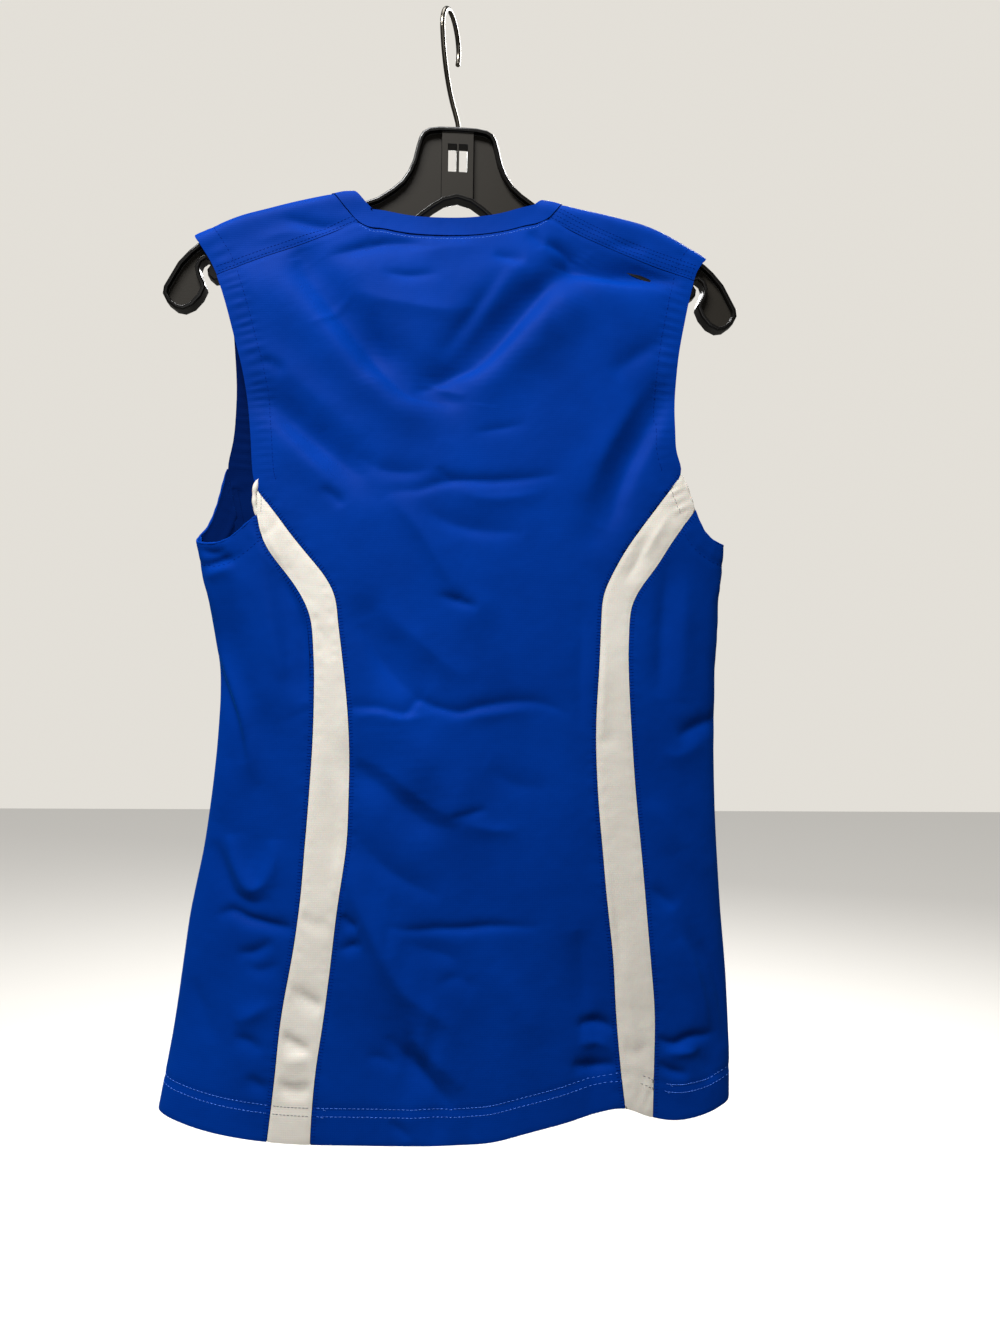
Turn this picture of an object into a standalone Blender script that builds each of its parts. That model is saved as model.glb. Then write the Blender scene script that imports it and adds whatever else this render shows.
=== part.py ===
"""Sleeveless compression shirt on a plastic top hanger, its back towards -Y.

Sizes are in millimetres until a mesh is made. x is measured from the middle
of the hanger, y from the middle of its thickness and z from the place where
the hook rests. "left" and "right" are those of someone who looks along +Y.

The shirt is a flat tube. Each height has a half width and a depth on either
side, and over the shoulders the cloth rolls on the hanger. A point of the
cloth above the armholes is also given as (x, way), where way is the distance
along the cloth from the top of the roll, negative on the back.
"""

import math

import bmesh
import bpy
import numpy as np

MM = 0.001
HANGER_X = 6.5          # the hanger's middle, measured from the hook's rest
SEAM_GAP = 0.5          # between the pieces that a seam joins

WALL = 1.2              # one layer of the knit
HEM_WALL = 2.0          # where the knit is turned over
HEM_DEPTH = 25.0
BAND_WIDTH = 14.0
ROLL = 9.5              # radius of the cloth over the hanger
QUARTER = ROLL * math.pi / 2
SETTLE = 60.0           # below the roll, the fall over which the cloth finds its own depth
ROUNDNESS = 2.4         # power of the section's curve: 2 is an ellipse

HANGER_HALF = 6.5       # half the hanger's thickness
HANGER_EDGE = 1.5       # radius of its edges
RIM = 3.2
WEB_HALF = 1.8
BOSS_HALF = 5.0
CUTTER_REACH = 4.0      # how far a cutter passes the faces it cuts
WINDOW = {"near": 1.0, "far": 7.2, "top": -99.5, "foot": -120.0}
BORE = {"radius": 2.2, "top": -84.0, "foot": -98.5}

HOOK = {"radius": 20.0, "wire": 1.8, "middle_x": -6.5, "turn": math.radians(19), "end": math.radians(-25)}


def table(names, *rows):
    """A short table as one array for each named column."""
    return dict(zip(names.split(), np.array(rows, float).T))


def read(rows, column, key, at):
    """The column's value at a place along the key, on a smooth curve through the rows."""
    places = rows[key]
    values = rows[column]
    slopes = np.gradient(values, places)
    at = np.clip(at, places[0], places[-1])
    row = np.clip(np.searchsorted(places, at) - 1, 0, len(places) - 2)
    span = places[row + 1] - places[row]
    t = (at - places[row]) / span
    start = values[row] * (1 + 2 * t) * (1 - t) ** 2 + slopes[row] * span * t * (1 - t) ** 2
    end = values[row + 1] * t * t * (3 - 2 * t) + slopes[row + 1] * span * t * t * (t - 1)
    return start + end


# Half widths to the side folds, and how far the back and the front stand out.
BODY = table(
    "z left right back front",
    (-845, 216, 220, 38, 26),
    (-800, 207.5, 219, 36.5, 25),
    (-760, 201, 218, 35, 24),
    (-710, 194.5, 214.5, 34, 23),
    (-670, 189.5, 211, 33, 22.5),
    (-635, 183, 208, 32, 22),
    (-600, 178, 206, 31, 22),
    (-555, 173, 204.5, 30, 21),
    (-495, 171.5, 204, 29, 21),
    (-445, 181.5, 206, 28, 20),
    (-400, 191, 209.5, 27, 20),
    (-340, 200, 212, 24, 18.5),
    (-280, 207, 214, 20.5, 16.5),
    (-200, 212, 215, 17.5, 14.5),
    (-140, 215, 215, 13, 12.5),
)

# Top of the cloth over the shoulders, level across the neck.
RIDGE = table(
    "x z",
    (-192, -175),
    (-178, -167.5),
    (-162, -160),
    (-142, -153.5),
    (-122, -147.5),
    (-103, -142.5),
    (-84, -137.8),
    (-70, -136.8),
    (-50, -136.5),
    (35, -136.5),
    (56, -136.8),
    (70, -137.8),
    (85, -141),
    (118, -147),
    (149, -154.5),
    (170, -164),
    (191, -175.5),
)

# Seams of the white inserts on the back.
INSERTS = table(
    "z left_outer left_inner right_inner right_outer",
    (-838, -128, -96.5, 136, 154),
    (-796, -123.5, -94.4, 130, 154.8),
    (-745, -118.8, -88, 125, 155),
    (-705, -112.2, -83.5, 122.3, 151.3),
    (-663, -106.8, -79, 117.2, 147.2),
    (-631, -104.6, -74.5, 114, 144),
    (-590, -102, -72.8, 110, 139.5),
    (-536, -99.5, -73.8, 107.5, 135),
    (-487, -100, -79, 109.6, 132.3),
    (-465, -102, -82, 110.4, 132.5),
    (-452, -105, -83.7, 110.9, 133.4),
    (-440, -111.5, -86.2, 112, 136.5),
    (-430, -118.5, -91.5, 115, 142.5),
    (-417, -129, -101.8, 121.8, 152.2),
    (-404, -137.3, -112.8, 129, 160.5),
    (-394, -141, -120.8, 135.8, 167.3),
    (-383, -143, -129.2, 143.8, 175),
    (-371, -143.5, -138.6, 152.8, 184),
    (-366, -143.5, -142.9, 156.6, 188),
    (-345, -143.5, -158, 171.6, 204),
)
INSERT_TOP = {"left_outer": -383.7, "left_inner": -366.1, "right_inner": -344.7, "right_outer": -371.3}

# Seams between the side panels and the front.
FRONT_SEAMS = table(
    "z left right",
    (-840, -168, 180),
    (-700, -156, 172),
    (-560, -147, 166),
    (-470, -150, 167),
    (-400, -159, 170),
    (-346, -170, 172),
)

ARMHOLE_BACK = table(
    "z left right",
    (-366, -143, 179),
    (-356, -146.3, 175),
    (-337, -148.2, 169.5),
    (-309, -150.6, 166.4),
    (-276, -156.1, 166.8),
    (-253, -162.2, 169),
    (-230, -168.5, 173),
    (-208, -175.8, 177.5),
    (-193, -182.8, 181.5),
    (-177, -191, 189.5),
)
ARMHOLE_FRONT = table(
    "z left right",
    (-346, -170, 172),
    (-316, -165.4, 163),
    (-285, -164.2, 160),
    (-260, -165.5, 161.5),
    (-230, -169.5, 167),
    (-205, -176.5, 175),
    (-190, -183.5, 183),
    (-177, -191, 189.5),
)

# Top edge of each side panel, from its seam on the back round to the one in front.
ARMPIT = table(
    "share left right",
    (0, -383.7, -371.3),
    (0.12, -392.5, -380),
    (0.28, -401.5, -390),
    (0.45, -405, -396),
    (0.6, -402, -396),
    (0.74, -392, -386),
    (0.87, -372, -368),
    (1, -346, -346),
)

HEM = table(
    "x back front",
    (-216, -821, -821),
    (-198, -825, -823),
    (-160, -832, -827),
    (-128, -835.5, -830),
    (-65, -837, -833),
    (4, -837.5, -834),
    (35, -836, -833),
    (61, -830.5, -832),
    (90, -824, -831),
    (110, -818.5, -830),
    (132, -816.5, -829),
    (152, -824, -828),
    (172, -828.5, -827),
    (200, -826.5, -824),
    (220, -821, -821),
)

# Shoulder seams, which lie on the back, from the armholes to the neckband.
SHOULDER_SEAM = table(
    "x z",
    (-176, -207),
    (-142, -193.5),
    (-111, -181),
    (-90, -171.5),
    (-73, -163.5),
    (68.5, -154),
    (90, -164.5),
    (113, -174),
    (147, -186),
    (181, -196),
)

# The neckband's seam, round from the left shoulder seam across the back first.
NECK = table(
    "x z face",
    (-73, -163.5, -1),
    (-55.6, -168.1, -1),
    (-29, -171.4, -1),
    (4, -170.8, -1),
    (29, -167.2, -1),
    (51, -160.8, -1),
    (68.5, -154, -1),
    (80.5, -140, 0),
    (75, -165, 1),
    (58, -197, 1),
    (30, -222, 1),
    (-7, -232, 1),
    (-44, -222, 1),
    (-72, -197, 1),
    (-89, -165, 1),
    (-94.5, -140, 0),
)
NECK_RIGHT_SEAM = 6
NECK_RIGHT_RIDGE = 7
NECK_FRONT = 11
NECK_LEFT_RIDGE = 15

# Largest folds: a line on a face, the width of its slope and its height, hollows below nought.
FOLDS = table(
    "face x0 z0 x1 z1 width height",
    (-1, -137, -216, -40, -300, 20, 3.5),
    (-1, -107, -200, -62, -258, 13, -3.5),
    (-1, -62, -258, 2, -298, 14, -3),
    (-1, 83, -196, -9, -276, 15, -3.5),
    (-1, 80, -222, 10, -296, 16, 3),
    (-1, 91, -193, 154, -196, 9, -3),
    (-1, -138, -297, -70, -352, 13, -3),
    (-1, 150, -290, 107, -388, 15, -3.5),
    (-1, -24, -375, 19, -449, 14, 2),
    (-1, -63, -457, -28, -504, 13, -2.5),
    (-1, -45, -536, 16, -604, 14, 2),
    (-1, -66, -562, -15, -597, 12, -2.5),
    (-1, -67, -652, -22, -745, 11, 3.5),
    (-1, -22, -745, 6, -815, 9, 3),
    (-1, -42, -764, 12, -822, 10, -2.5),
    (-1, -128, -425, -112, -520, 9, -3.5),
    (-1, -158, -430, -137, -520, 12, 3.5),
    (-1, -169, -488, -144, -568, 7, 3),
    (-1, -158, -621, -139, -640, 9, -2.5),
    (-1, 186, -699, 205, -786, 9, -4),
    (-1, 112, -752, 108, -787, 9, -2.5),
    (1, -120, -240, -30, -330, 18, 3),
    (1, 100, -240, 20, -330, 18, 3),
    (1, -70, -300, 50, -300, 16, -3),
    (1, -130, -420, -100, -560, 15, -3),
    (1, 130, -430, 105, -570, 15, -3),
    (1, -60, -560, 30, -690, 16, 2.5),
    (1, 60, -650, 90, -810, 14, 3),
    (1, -95, -690, -110, -815, 14, 3),
)

# Half of the hanger's outline, from the middle of its top round to the middle of the arch.
# The lip that closes the strap notch carries no rim.
HANGER = table(
    "x z rim",
    (0, -86.6, 1),
    (14, -86.9, 1),
    (22, -88.2, 1),
    (26.5, -91, 1),
    (29, -95.2, 1),
    (31, -102, 1),
    (33.5, -112.5, 1),
    (37, -121, 1),
    (42, -128.6, 1),
    (49, -134.8, 1),
    (60, -142.3, 1),
    (73, -147.3, 1),
    (88, -149.2, 1),
    (103, -150.4, 1),
    (120, -151.8, 1),
    (142, -158.4, 1),
    (162, -165.6, 1),
    (178, -174, 1),
    (190.5, -182.4, 1),
    (197, -188, 1),
    (205, -197, 1),
    (210.3, -206.5, 1),
    (215, -215, 1),
    (215.8, -220.5, 1),
    (212.5, -227, 1),
    (206.5, -231.5, 1),
    (200.7, -232.4, 1),
    (193.8, -229, 1),
    (187.8, -222, 1),
    (184.8, -215.2, 1),
    (186, -210.5, 1),
    (188.6, -205, 1),
    (189.5, -200.5, 1),
    (188, -196.4, 1),
    (184.8, -194, 1),
    (181.6, -195.4, 1),
    (181.6, -198.4, 0),
    (183.8, -201.6, 0),
    (183.2, -206.2, 0),
    (178.8, -209.8, 0),
    (172, -208.4, 1),
    (160, -204, 1),
    (140, -196, 1),
    (115, -187.5, 1),
    (90, -181, 1),
    (64, -176, 1),
    (48, -171, 1),
    (37, -164, 1),
    (26, -155.2, 1),
    (18, -148.6, 1),
    (10, -143.2, 1),
    (0, -140.5, 1),
)

# Half of the thicker middle of the neck, which ends inside the rims above and below it.
BOSS = table(
    "x z",
    (0, -88.2),
    (12, -88.2),
    (12, -143),
    (8, -140.9),
    (0, -139),
)

# The hook's wire from the bore up to its round bend.
HOOK_STEM = table(
    "x y z",
    (0, 0, -98),
    (0, 0, -84),
    (-1.6, -1, -77),
    (-5, -4, -67),
    (-8, -8, -56),
    (-10.3, -12.5, -45),
    (-12, -16.5, -33),
)


def ease(t):
    """From nought to one with level ends."""
    t = np.clip(t, 0, 1)
    return t * t * (3 - 2 * t)


def half_width(x, z):
    return np.where(np.asarray(x) < 0, read(BODY, "left", "z", z), read(BODY, "right", "z", z))


def fold_height(face, x, z):
    """How far the folds lift the cloth at a place."""
    height = 0.0
    for row in range(len(FOLDS["face"])):
        if FOLDS["face"][row] != face:
            continue
        x0, z0 = FOLDS["x0"][row], FOLDS["z0"][row]
        run, fall = FOLDS["x1"][row] - x0, FOLDS["z1"][row] - z0
        along = np.clip(((x - x0) * run + (z - z0) * fall) / (run * run + fall * fall), 0, 1)
        away = np.hypot(x - x0 - along * run, z - z0 - along * fall)
        height = height + FOLDS["height"][row] * np.exp(-((away / FOLDS["width"][row]) ** 2))
    return height


def stand_out(face, x, z):
    """Distance of the cloth's outer side from the middle plane; face is -1 on the back."""
    across = np.clip(np.abs(x) / half_width(x, z), 0, 1)
    taper = np.sqrt(1 - across ** ROUNDNESS)
    depth = read(BODY, "back" if face < 0 else "front", "z", z) * taper
    drop = np.maximum(read(RIDGE, "z", "x", x) - z, 0)
    rolled = np.sqrt(ROLL**2 - (ROLL - np.minimum(drop, ROLL)) ** 2)
    hung = ROLL + (depth - ROLL) * ease((drop - ROLL) / SETTLE)
    lift = fold_height(face, x, z) * taper * ease((drop - ROLL) / 35)
    return np.where(drop < ROLL, rolled, hung + lift)


def on_face(face, x, z):
    """Points of the cloth's outer side."""
    x, z = np.broadcast_arrays(x, z)
    return np.stack([x, face * stand_out(face, x, z), z], axis=-1)


def way_of(face, x, z):
    """Distance along the cloth from the top of the roll, for places below the roll."""
    return face * (read(RIDGE, "z", "x", x) - z - ROLL + QUARTER)


def on_way(x, way):
    """Points of the cloth's outer side, given as a distance along it from the top of the roll."""
    x, way = np.broadcast_arrays(x, way)
    far = np.abs(way)
    turn = np.minimum(far / ROLL, math.pi / 2)
    drop = ROLL * (1 - np.cos(turn)) + np.maximum(far - QUARTER, 0)
    z = read(RIDGE, "z", "x", x) - drop
    below = np.where(way < 0, -stand_out(-1, x, z), stand_out(1, x, z))
    y = np.where(far < QUARTER, np.sign(way) * ROLL * np.sin(turn), below)
    return np.stack([x, y, z], axis=-1)


def patch(top, bottom, left, right, across, down):
    """A net of flat points between four edges, its columns and rows at the given shares."""
    u = across[None, :, None]
    v = down[:, None, None]
    between_rows = top[None] * (1 - v) + bottom[None] * v
    between_columns = left[:, None] * (1 - u) + right[:, None] * u
    corners = (top[0] * (1 - u) + top[-1] * u) * (1 - v) + (bottom[0] * (1 - u) + bottom[-1] * u) * v
    return between_rows + between_columns - corners


def points_between(start, end, shares):
    return np.asarray(start) + (np.asarray(end) - np.asarray(start)) * np.asarray(shares)[:, None]


# Rows of every piece below the armholes: close at the top, where the seams curve, and a hem.
SEAM_DROP = 470.0       # about the fall of a seam from the armhole to the hem
CURVED_SHARE = 0.26
HEM_SHARE = HEM_DEPTH / SEAM_DROP
STEP_TO_HEM = 0.006     # share over which the wall thickens into the hem
DOWN = np.concatenate([
    np.linspace(0, CURVED_SHARE, 9),
    np.linspace(CURVED_SHARE, 1 - HEM_SHARE - STEP_TO_HEM, 13)[1:],
    [1 - HEM_SHARE, 1],
])
HEM_ROWS = 2
HEM_LEVEL = -828.0      # about the hem's height, where a seam's foot is looked for

SEAM_COLUMNS = 8
NECK_COLUMNS = 12
SIDE_COLUMNS = 13
# Shares of the armhole's front and back edges, closest over the roll.
OVER_FRONT = np.array([0.055, 0.11, 0.16, 0.27, 0.4, 0.54, 0.69, 0.85, 1])
OVER_BACK = np.array([1, 0.75, 0.5, 0.31, 0.2, 0.1, 0])


def hem_height(face, x):
    return read(HEM, "back" if face < 0 else "front", "x", x)


def seam_down(rows, column, top, face):
    """The (x, z) points down a seam from its top to the hem."""
    foot = HEM_LEVEL
    for _ in range(4):
        foot = hem_height(face, read(rows, column, "z", foot))
    z = top + (foot - top) * DOWN
    return np.stack([read(rows, column, "z", z), z], axis=-1)


def shifted(points, by):
    return points + np.array([by, 0.0])


# ---- the scene, the collections and the materials ----

for old in list(bpy.data.objects):
    bpy.data.objects.remove(old, do_unlink=True)

garment = bpy.data.collections.new("sleeveless_shirt_on_hanger")
cutters = bpy.data.collections.new("cutters")
for folder in (garment, cutters):
    bpy.context.scene.collection.children.link(folder)

hanger_middle = bpy.data.objects.new("hanger_middle", None)
hanger_middle.location = (HANGER_X * MM, 0, 0)
garment.objects.link(hanger_middle)


def finish(name, colour, roughness, metallic=0.0):
    material = bpy.data.materials.new(name)
    material.use_nodes = True
    shader = material.node_tree.nodes["Principled BSDF"]
    shader.inputs["Base Color"].default_value = (*colour, 1)
    shader.inputs["Roughness"].default_value = roughness
    shader.inputs["Metallic"].default_value = metallic
    return material


BLUE_KNIT = finish("blue_knit", (0.003, 0.05, 0.38), 0.6)
WHITE_KNIT = finish("white_knit", (0.75, 0.73, 0.7), 0.65)
BLACK_PLASTIC = finish("black_plastic", (0.012, 0.012, 0.011), 0.2)
STEEL = finish("steel_wire", (0.5, 0.5, 0.5), 0.3, 1.0)


def place(name, mesh, material, folder=garment):
    piece = bpy.data.objects.new(name, mesh)
    piece.parent = hanger_middle
    if not mesh.materials:
        mesh.materials.append(material)
    folder.objects.link(piece)
    return piece


def cloth(name, nets, material, inwards=False, round_about=False):
    """A sewn piece: nets of points, welded where they meet, given a wall on their inner side.

    Each net is (points, hem), where hem is one where the knit is turned over.
    """
    mesh = bpy.data.meshes.new(name)
    shape = bmesh.new()
    turned = shape.verts.layers.deform.verify()
    for points, hem in nets:
        rows, columns = hem.shape
        corners = [[shape.verts.new(points[i, j] * MM) for j in range(columns)] for i in range(rows)]
        for i in range(rows):
            for j in range(columns):
                corners[i][j][turned][0] = hem[i, j]
        for i in range(rows - 1):
            for j in range(columns if round_about else columns - 1):
                k = (j + 1) % columns
                ring = (corners[i][j], corners[i + 1][j], corners[i + 1][k], corners[i][k])
                shape.faces.new(ring[::-1] if inwards else ring)
    bmesh.ops.remove_doubles(shape, verts=shape.verts, dist=1e-6)
    shape.to_mesh(mesh)
    shape.free()
    mesh.shade_smooth()
    piece = place(name, mesh, material)
    piece.vertex_groups.new(name="turned_over")
    wall = piece.modifiers.new("wall", "SOLIDIFY")
    wall.thickness = HEM_WALL * MM
    wall.offset = -1
    wall.vertex_group = "turned_over"
    wall.thickness_vertex_group = WALL / HEM_WALL
    return piece


def hem_marks(rows, columns):
    """Nought all over, one along the turned hem at the foot."""
    hem = np.zeros((rows, columns))
    hem[-HEM_ROWS:] = 1
    return hem


# ---- the neck line, shared by the neckband, the back and the front ----

NECK_WAYS = np.where(NECK["face"] == 0, 0, way_of(NECK["face"], NECK["x"], NECK["z"]))
NECK_POINTS = np.stack([NECK["x"], NECK_WAYS], axis=-1)


def neck_point(at):
    """(x, way) on the smooth closed line of the neckband's seam; whole numbers are the table's rows."""
    at = np.asarray(at, float)
    row = np.floor(at).astype(int)
    t = (at - row)[:, None]
    before, start, end, after = (NECK_POINTS[(row + step) % len(NECK_POINTS)] for step in (-1, 0, 1, 2))
    return 0.5 * (
        2 * start
        + (end - before) * t
        + (2 * before - 5 * start + 4 * end - after) * t**2
        + (3 * start - before - 3 * end + after) * t**3
    )


def neck_inwards(at):
    """Unit (x, way) directions from the seam line towards the opening."""
    step = 0.02
    along = neck_point(np.asarray(at) + step) - neck_point(np.asarray(at) - step)
    along /= np.linalg.norm(along, axis=-1, keepdims=True)
    return np.stack([-along[:, 1], along[:, 0]], axis=-1)


def beside_neck(at, inwards):
    return neck_point(at) + neck_inwards(at) * inwards


# ---- back ----

def shoulder_seam(start, end, gap):
    """(x, way) points along a shoulder seam; gap moves them down the back."""
    x = np.linspace(start, end, SEAM_COLUMNS + 1)
    z = read(SHOULDER_SEAM, "z", "x", x)
    return np.stack([x, way_of(-1, x, z) - gap], axis=-1)


def flat_of(points):
    """(x, z) of (x, way) points on the back."""
    return on_way(points[:, 0], points[:, 1])[:, [0, 2]]


LEFT_SEAM_END = {"arm": -176.0, "neck": -73.0}
RIGHT_SEAM_END = {"arm": 181.0, "neck": 68.5}
half_gap = SEAM_GAP / 2

neck_across_back = np.linspace(0, NECK_RIGHT_SEAM, NECK_COLUMNS + 1)
back_top = np.concatenate([
    flat_of(shoulder_seam(LEFT_SEAM_END["arm"], LEFT_SEAM_END["neck"], half_gap))[:-1],
    flat_of(beside_neck(neck_across_back, -half_gap)),
    flat_of(shoulder_seam(RIGHT_SEAM_END["neck"], RIGHT_SEAM_END["arm"], half_gap))[1:],
])
across_back = np.linspace(0, 1, len(back_top))

back_left = shifted(seam_down(INSERTS, "left_inner", INSERT_TOP["left_inner"], -1), half_gap)
back_right = shifted(seam_down(INSERTS, "right_inner", INSERT_TOP["right_inner"], -1), -half_gap)
back_hem_x = np.linspace(back_left[-1, 0], back_right[-1, 0], len(back_top))
back_hem = np.stack([back_hem_x, hem_height(-1, back_hem_x)], axis=-1)
back_level = points_between(back_left[0], back_right[0], across_back)


def armhole_edge(rows, column, start, end, shares):
    """(x, z) points up or down an armhole's edge, which start and end where they are told."""
    z = start[1] + (end[1] - start[1]) * shares
    x = read(rows, column, "z", z)
    miss = points_between((start[0] - x[0], 0), (end[0] - x[-1], 0), shares)
    return np.stack([x, z], axis=-1) + miss


upper_rows = np.linspace(0, 1, 11)
back_upper = patch(
    back_top,
    back_level,
    armhole_edge(ARMHOLE_BACK, "left", back_top[0], back_level[0], upper_rows),
    armhole_edge(ARMHOLE_BACK, "right", back_top[-1], back_level[-1], upper_rows),
    across_back,
    upper_rows,
)
back_lower = patch(back_level, back_hem, back_left, back_right, across_back, DOWN)
armhole_hem = np.zeros(back_upper.shape[:2])
armhole_hem[:, [0, -1]] = 1
cloth(
    "back_panel",
    [
        (on_face(-1, back_upper[..., 0], back_upper[..., 1]), armhole_hem),
        (on_face(-1, back_lower[..., 0], back_lower[..., 1]), hem_marks(*back_lower.shape[:2])),
    ],
    BLUE_KNIT,
)


# ---- white inserts ----

def insert(side, left_seam, right_seam):
    left = shifted(seam_down(INSERTS, left_seam, INSERT_TOP[left_seam], -1), half_gap)
    right = shifted(seam_down(INSERTS, right_seam, INSERT_TOP[right_seam], -1), -half_gap)
    shares = np.linspace(0, 1, 4)
    hem_x = left[-1, 0] + (right[-1, 0] - left[-1, 0]) * shares
    hem = np.stack([hem_x, hem_height(-1, hem_x)], axis=-1)
    flat = patch(points_between(left[0], right[0], shares), hem, left, right, shares, DOWN)
    turned = hem_marks(*flat.shape[:2])
    turned[0] = 1
    cloth(f"insert_{side}", [(on_face(-1, flat[..., 0], flat[..., 1]), turned)], WHITE_KNIT)


insert("left", "left_outer", "left_inner")
insert("right", "right_inner", "right_outer")


# ---- side panels ----

def round_side(sign, z, back_x, front_x, shares):
    """Points at shares of the way round a side fold at one height, from the back to the front."""
    half = half_width(sign, z)
    first, last = (math.asin(min(abs(x) / half, 1)) for x in (back_x, front_x))
    steps = 40
    behind = np.linspace(first, math.pi / 2, steps)
    before = np.linspace(math.pi / 2, last, steps)[1:]
    ring = np.concatenate([
        on_face(-1, sign * half * np.sin(behind), z),
        on_face(1, sign * half * np.sin(before), z),
    ])
    length = np.concatenate([[0], np.cumsum(np.linalg.norm(np.diff(ring, axis=0), axis=1))])
    at = half_gap + (length[-1] - SEAM_GAP) * shares
    return np.stack([np.interp(at, length, ring[:, axis]) for axis in range(3)], axis=-1)


def side_panel(side, sign, back_seam):
    shares = np.linspace(0, 1, SIDE_COLUMNS)
    back_line = seam_down(INSERTS, back_seam, INSERT_TOP[back_seam], -1)
    front_line = seam_down(FRONT_SEAMS, side, FRONT_SEAMS["z"][-1], 1)
    around_hem = round_side(sign, HEM_LEVEL, back_line[-1, 0], front_line[-1, 0], shares)
    foot = np.where(around_hem[:, 1] < 0, hem_height(-1, around_hem[:, 0]), hem_height(1, around_hem[:, 0]))
    foot[[0, -1]] = back_line[-1, 1], front_line[-1, 1]
    top = read(ARMPIT, side, "share", shares)
    net = np.empty((len(DOWN), SIDE_COLUMNS, 3))
    for column, share in enumerate(shares):
        for row, z in enumerate(top[column] + (foot[column] - top[column]) * DOWN):
            back_x = read(INSERTS, back_seam, "z", z)
            front_x = read(FRONT_SEAMS, side, "z", z)
            net[row, column] = round_side(sign, z, back_x, front_x, np.array([share]))[0]
    turned = hem_marks(*net.shape[:2])
    turned[0] = 1
    cloth(f"side_panel_{side}", [(net, turned)], BLUE_KNIT, inwards=sign < 0)


side_panel("left", -1, "left_outer")
side_panel("right", 1, "right_outer")


# ---- front, which rolls over the shoulders to the seams on the back ----

front_left = shifted(seam_down(FRONT_SEAMS, "left", FRONT_SEAMS["z"][-1], 1), half_gap)
front_right = shifted(seam_down(FRONT_SEAMS, "right", FRONT_SEAMS["z"][-1], 1), -half_gap)
across_front = np.linspace(0, 1, 2 * SEAM_COLUMNS + 1)
front_hem_x = np.linspace(front_left[-1, 0], front_right[-1, 0], len(across_front))
front_hem = np.stack([front_hem_x, hem_height(1, front_hem_x)], axis=-1)
front_level = points_between(front_left[0], front_right[0], across_front)

SHOULDER_FOOT = -262.0  # where the shoulder parts begin on the front's armhole edges
half_columns = np.linspace(0, 1, SEAM_COLUMNS + 1)
neck_foot = beside_neck([NECK_FRONT], -half_gap)[0]
neck_foot_z = on_way(neck_foot[:1], neck_foot[1:])[0, 2]
left_foot = (float(read(ARMHOLE_FRONT, "left", "z", SHOULDER_FOOT)), SHOULDER_FOOT)
right_foot = (float(read(ARMHOLE_FRONT, "right", "z", SHOULDER_FOOT)), SHOULDER_FOOT)
left_shelf = points_between(left_foot, (neck_foot[0], neck_foot_z), half_columns)
right_shelf = points_between((neck_foot[0], neck_foot_z), right_foot, half_columns)
front_shelf = np.concatenate([left_shelf, right_shelf[1:]])

chest_rows = np.linspace(0, 1, 6)
front_upper = patch(
    front_shelf,
    front_level,
    armhole_edge(ARMHOLE_FRONT, "left", front_shelf[0], front_level[0], chest_rows),
    armhole_edge(ARMHOLE_FRONT, "right", front_shelf[-1], front_level[-1], chest_rows),
    across_front,
    chest_rows,
)
front_lower = patch(front_level, front_hem, front_left, front_right, across_front, DOWN)


def shoulder_edge(side, seam_way, foot_way):
    """(x, way) points of an armhole's edge, over the shoulder from the back seam to the front."""
    ways = np.concatenate([seam_way * OVER_BACK, foot_way * OVER_FRONT])
    ridge = RIDGE["z"][0 if side == "left" else -1]
    z = ridge - np.maximum(np.abs(ways) - QUARTER + ROLL, 0)
    back_x = read(ARMHOLE_BACK, side, "z", z)
    front_x = read(ARMHOLE_FRONT, side, "z", z)
    return np.stack([np.where(ways < 0, back_x, front_x), ways], axis=-1)


def shoulder_net(side, seam, neck_rows, shelf):
    """The front's shoulder part, from its seam on the back over the roll to the neck's foot."""
    shelf_ways = np.stack([shelf[:, 0], way_of(1, shelf[:, 0], shelf[:, 1])], axis=-1)
    arm_end = 0 if side == "left" else -1
    arm = shoulder_edge(side, seam[arm_end, 1], shelf_ways[arm_end, 1])
    arm += points_between(
        (seam[arm_end, 0] - arm[0, 0], 0), (shelf_ways[arm_end, 0] - arm[-1, 0], 0), np.linspace(0, 1, len(arm))
    )
    neck = beside_neck(neck_rows, -half_gap)
    neck[0] = seam[-1 if side == "left" else 0]
    left, right = (arm, neck) if side == "left" else (neck, arm)
    down = np.linspace(0, 1, len(arm))
    flat = patch(seam, shelf_ways, left, right, half_columns, down)
    turned = np.zeros(flat.shape[:2])
    turned[:, arm_end] = 1
    return on_way(flat[..., 0], flat[..., 1]), turned


over = np.concatenate([-OVER_BACK, OVER_FRONT])
left_neck_rows = NECK_LEFT_RIDGE - np.where(over < 0, over, over * (NECK_LEFT_RIDGE - NECK_FRONT))
right_neck_rows = NECK_RIGHT_RIDGE + np.where(over < 0, over, over * (NECK_FRONT - NECK_RIGHT_RIDGE))
left_top = shoulder_seam(LEFT_SEAM_END["arm"], LEFT_SEAM_END["neck"], -half_gap)
right_top = shoulder_seam(RIGHT_SEAM_END["neck"], RIGHT_SEAM_END["arm"], -half_gap)

chest_hem = np.zeros(front_upper.shape[:2])
chest_hem[:, [0, -1]] = 1
cloth(
    "front_panel",
    [
        (on_face(1, front_upper[..., 0], front_upper[..., 1]), chest_hem),
        (on_face(1, front_lower[..., 0], front_lower[..., 1]), hem_marks(*front_lower.shape[:2])),
        shoulder_net("left", left_top, left_neck_rows, left_shelf),
        shoulder_net("right", right_top, right_neck_rows, right_shelf),
    ],
    BLUE_KNIT,
    inwards=True,
)


# ---- neckband ----

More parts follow.
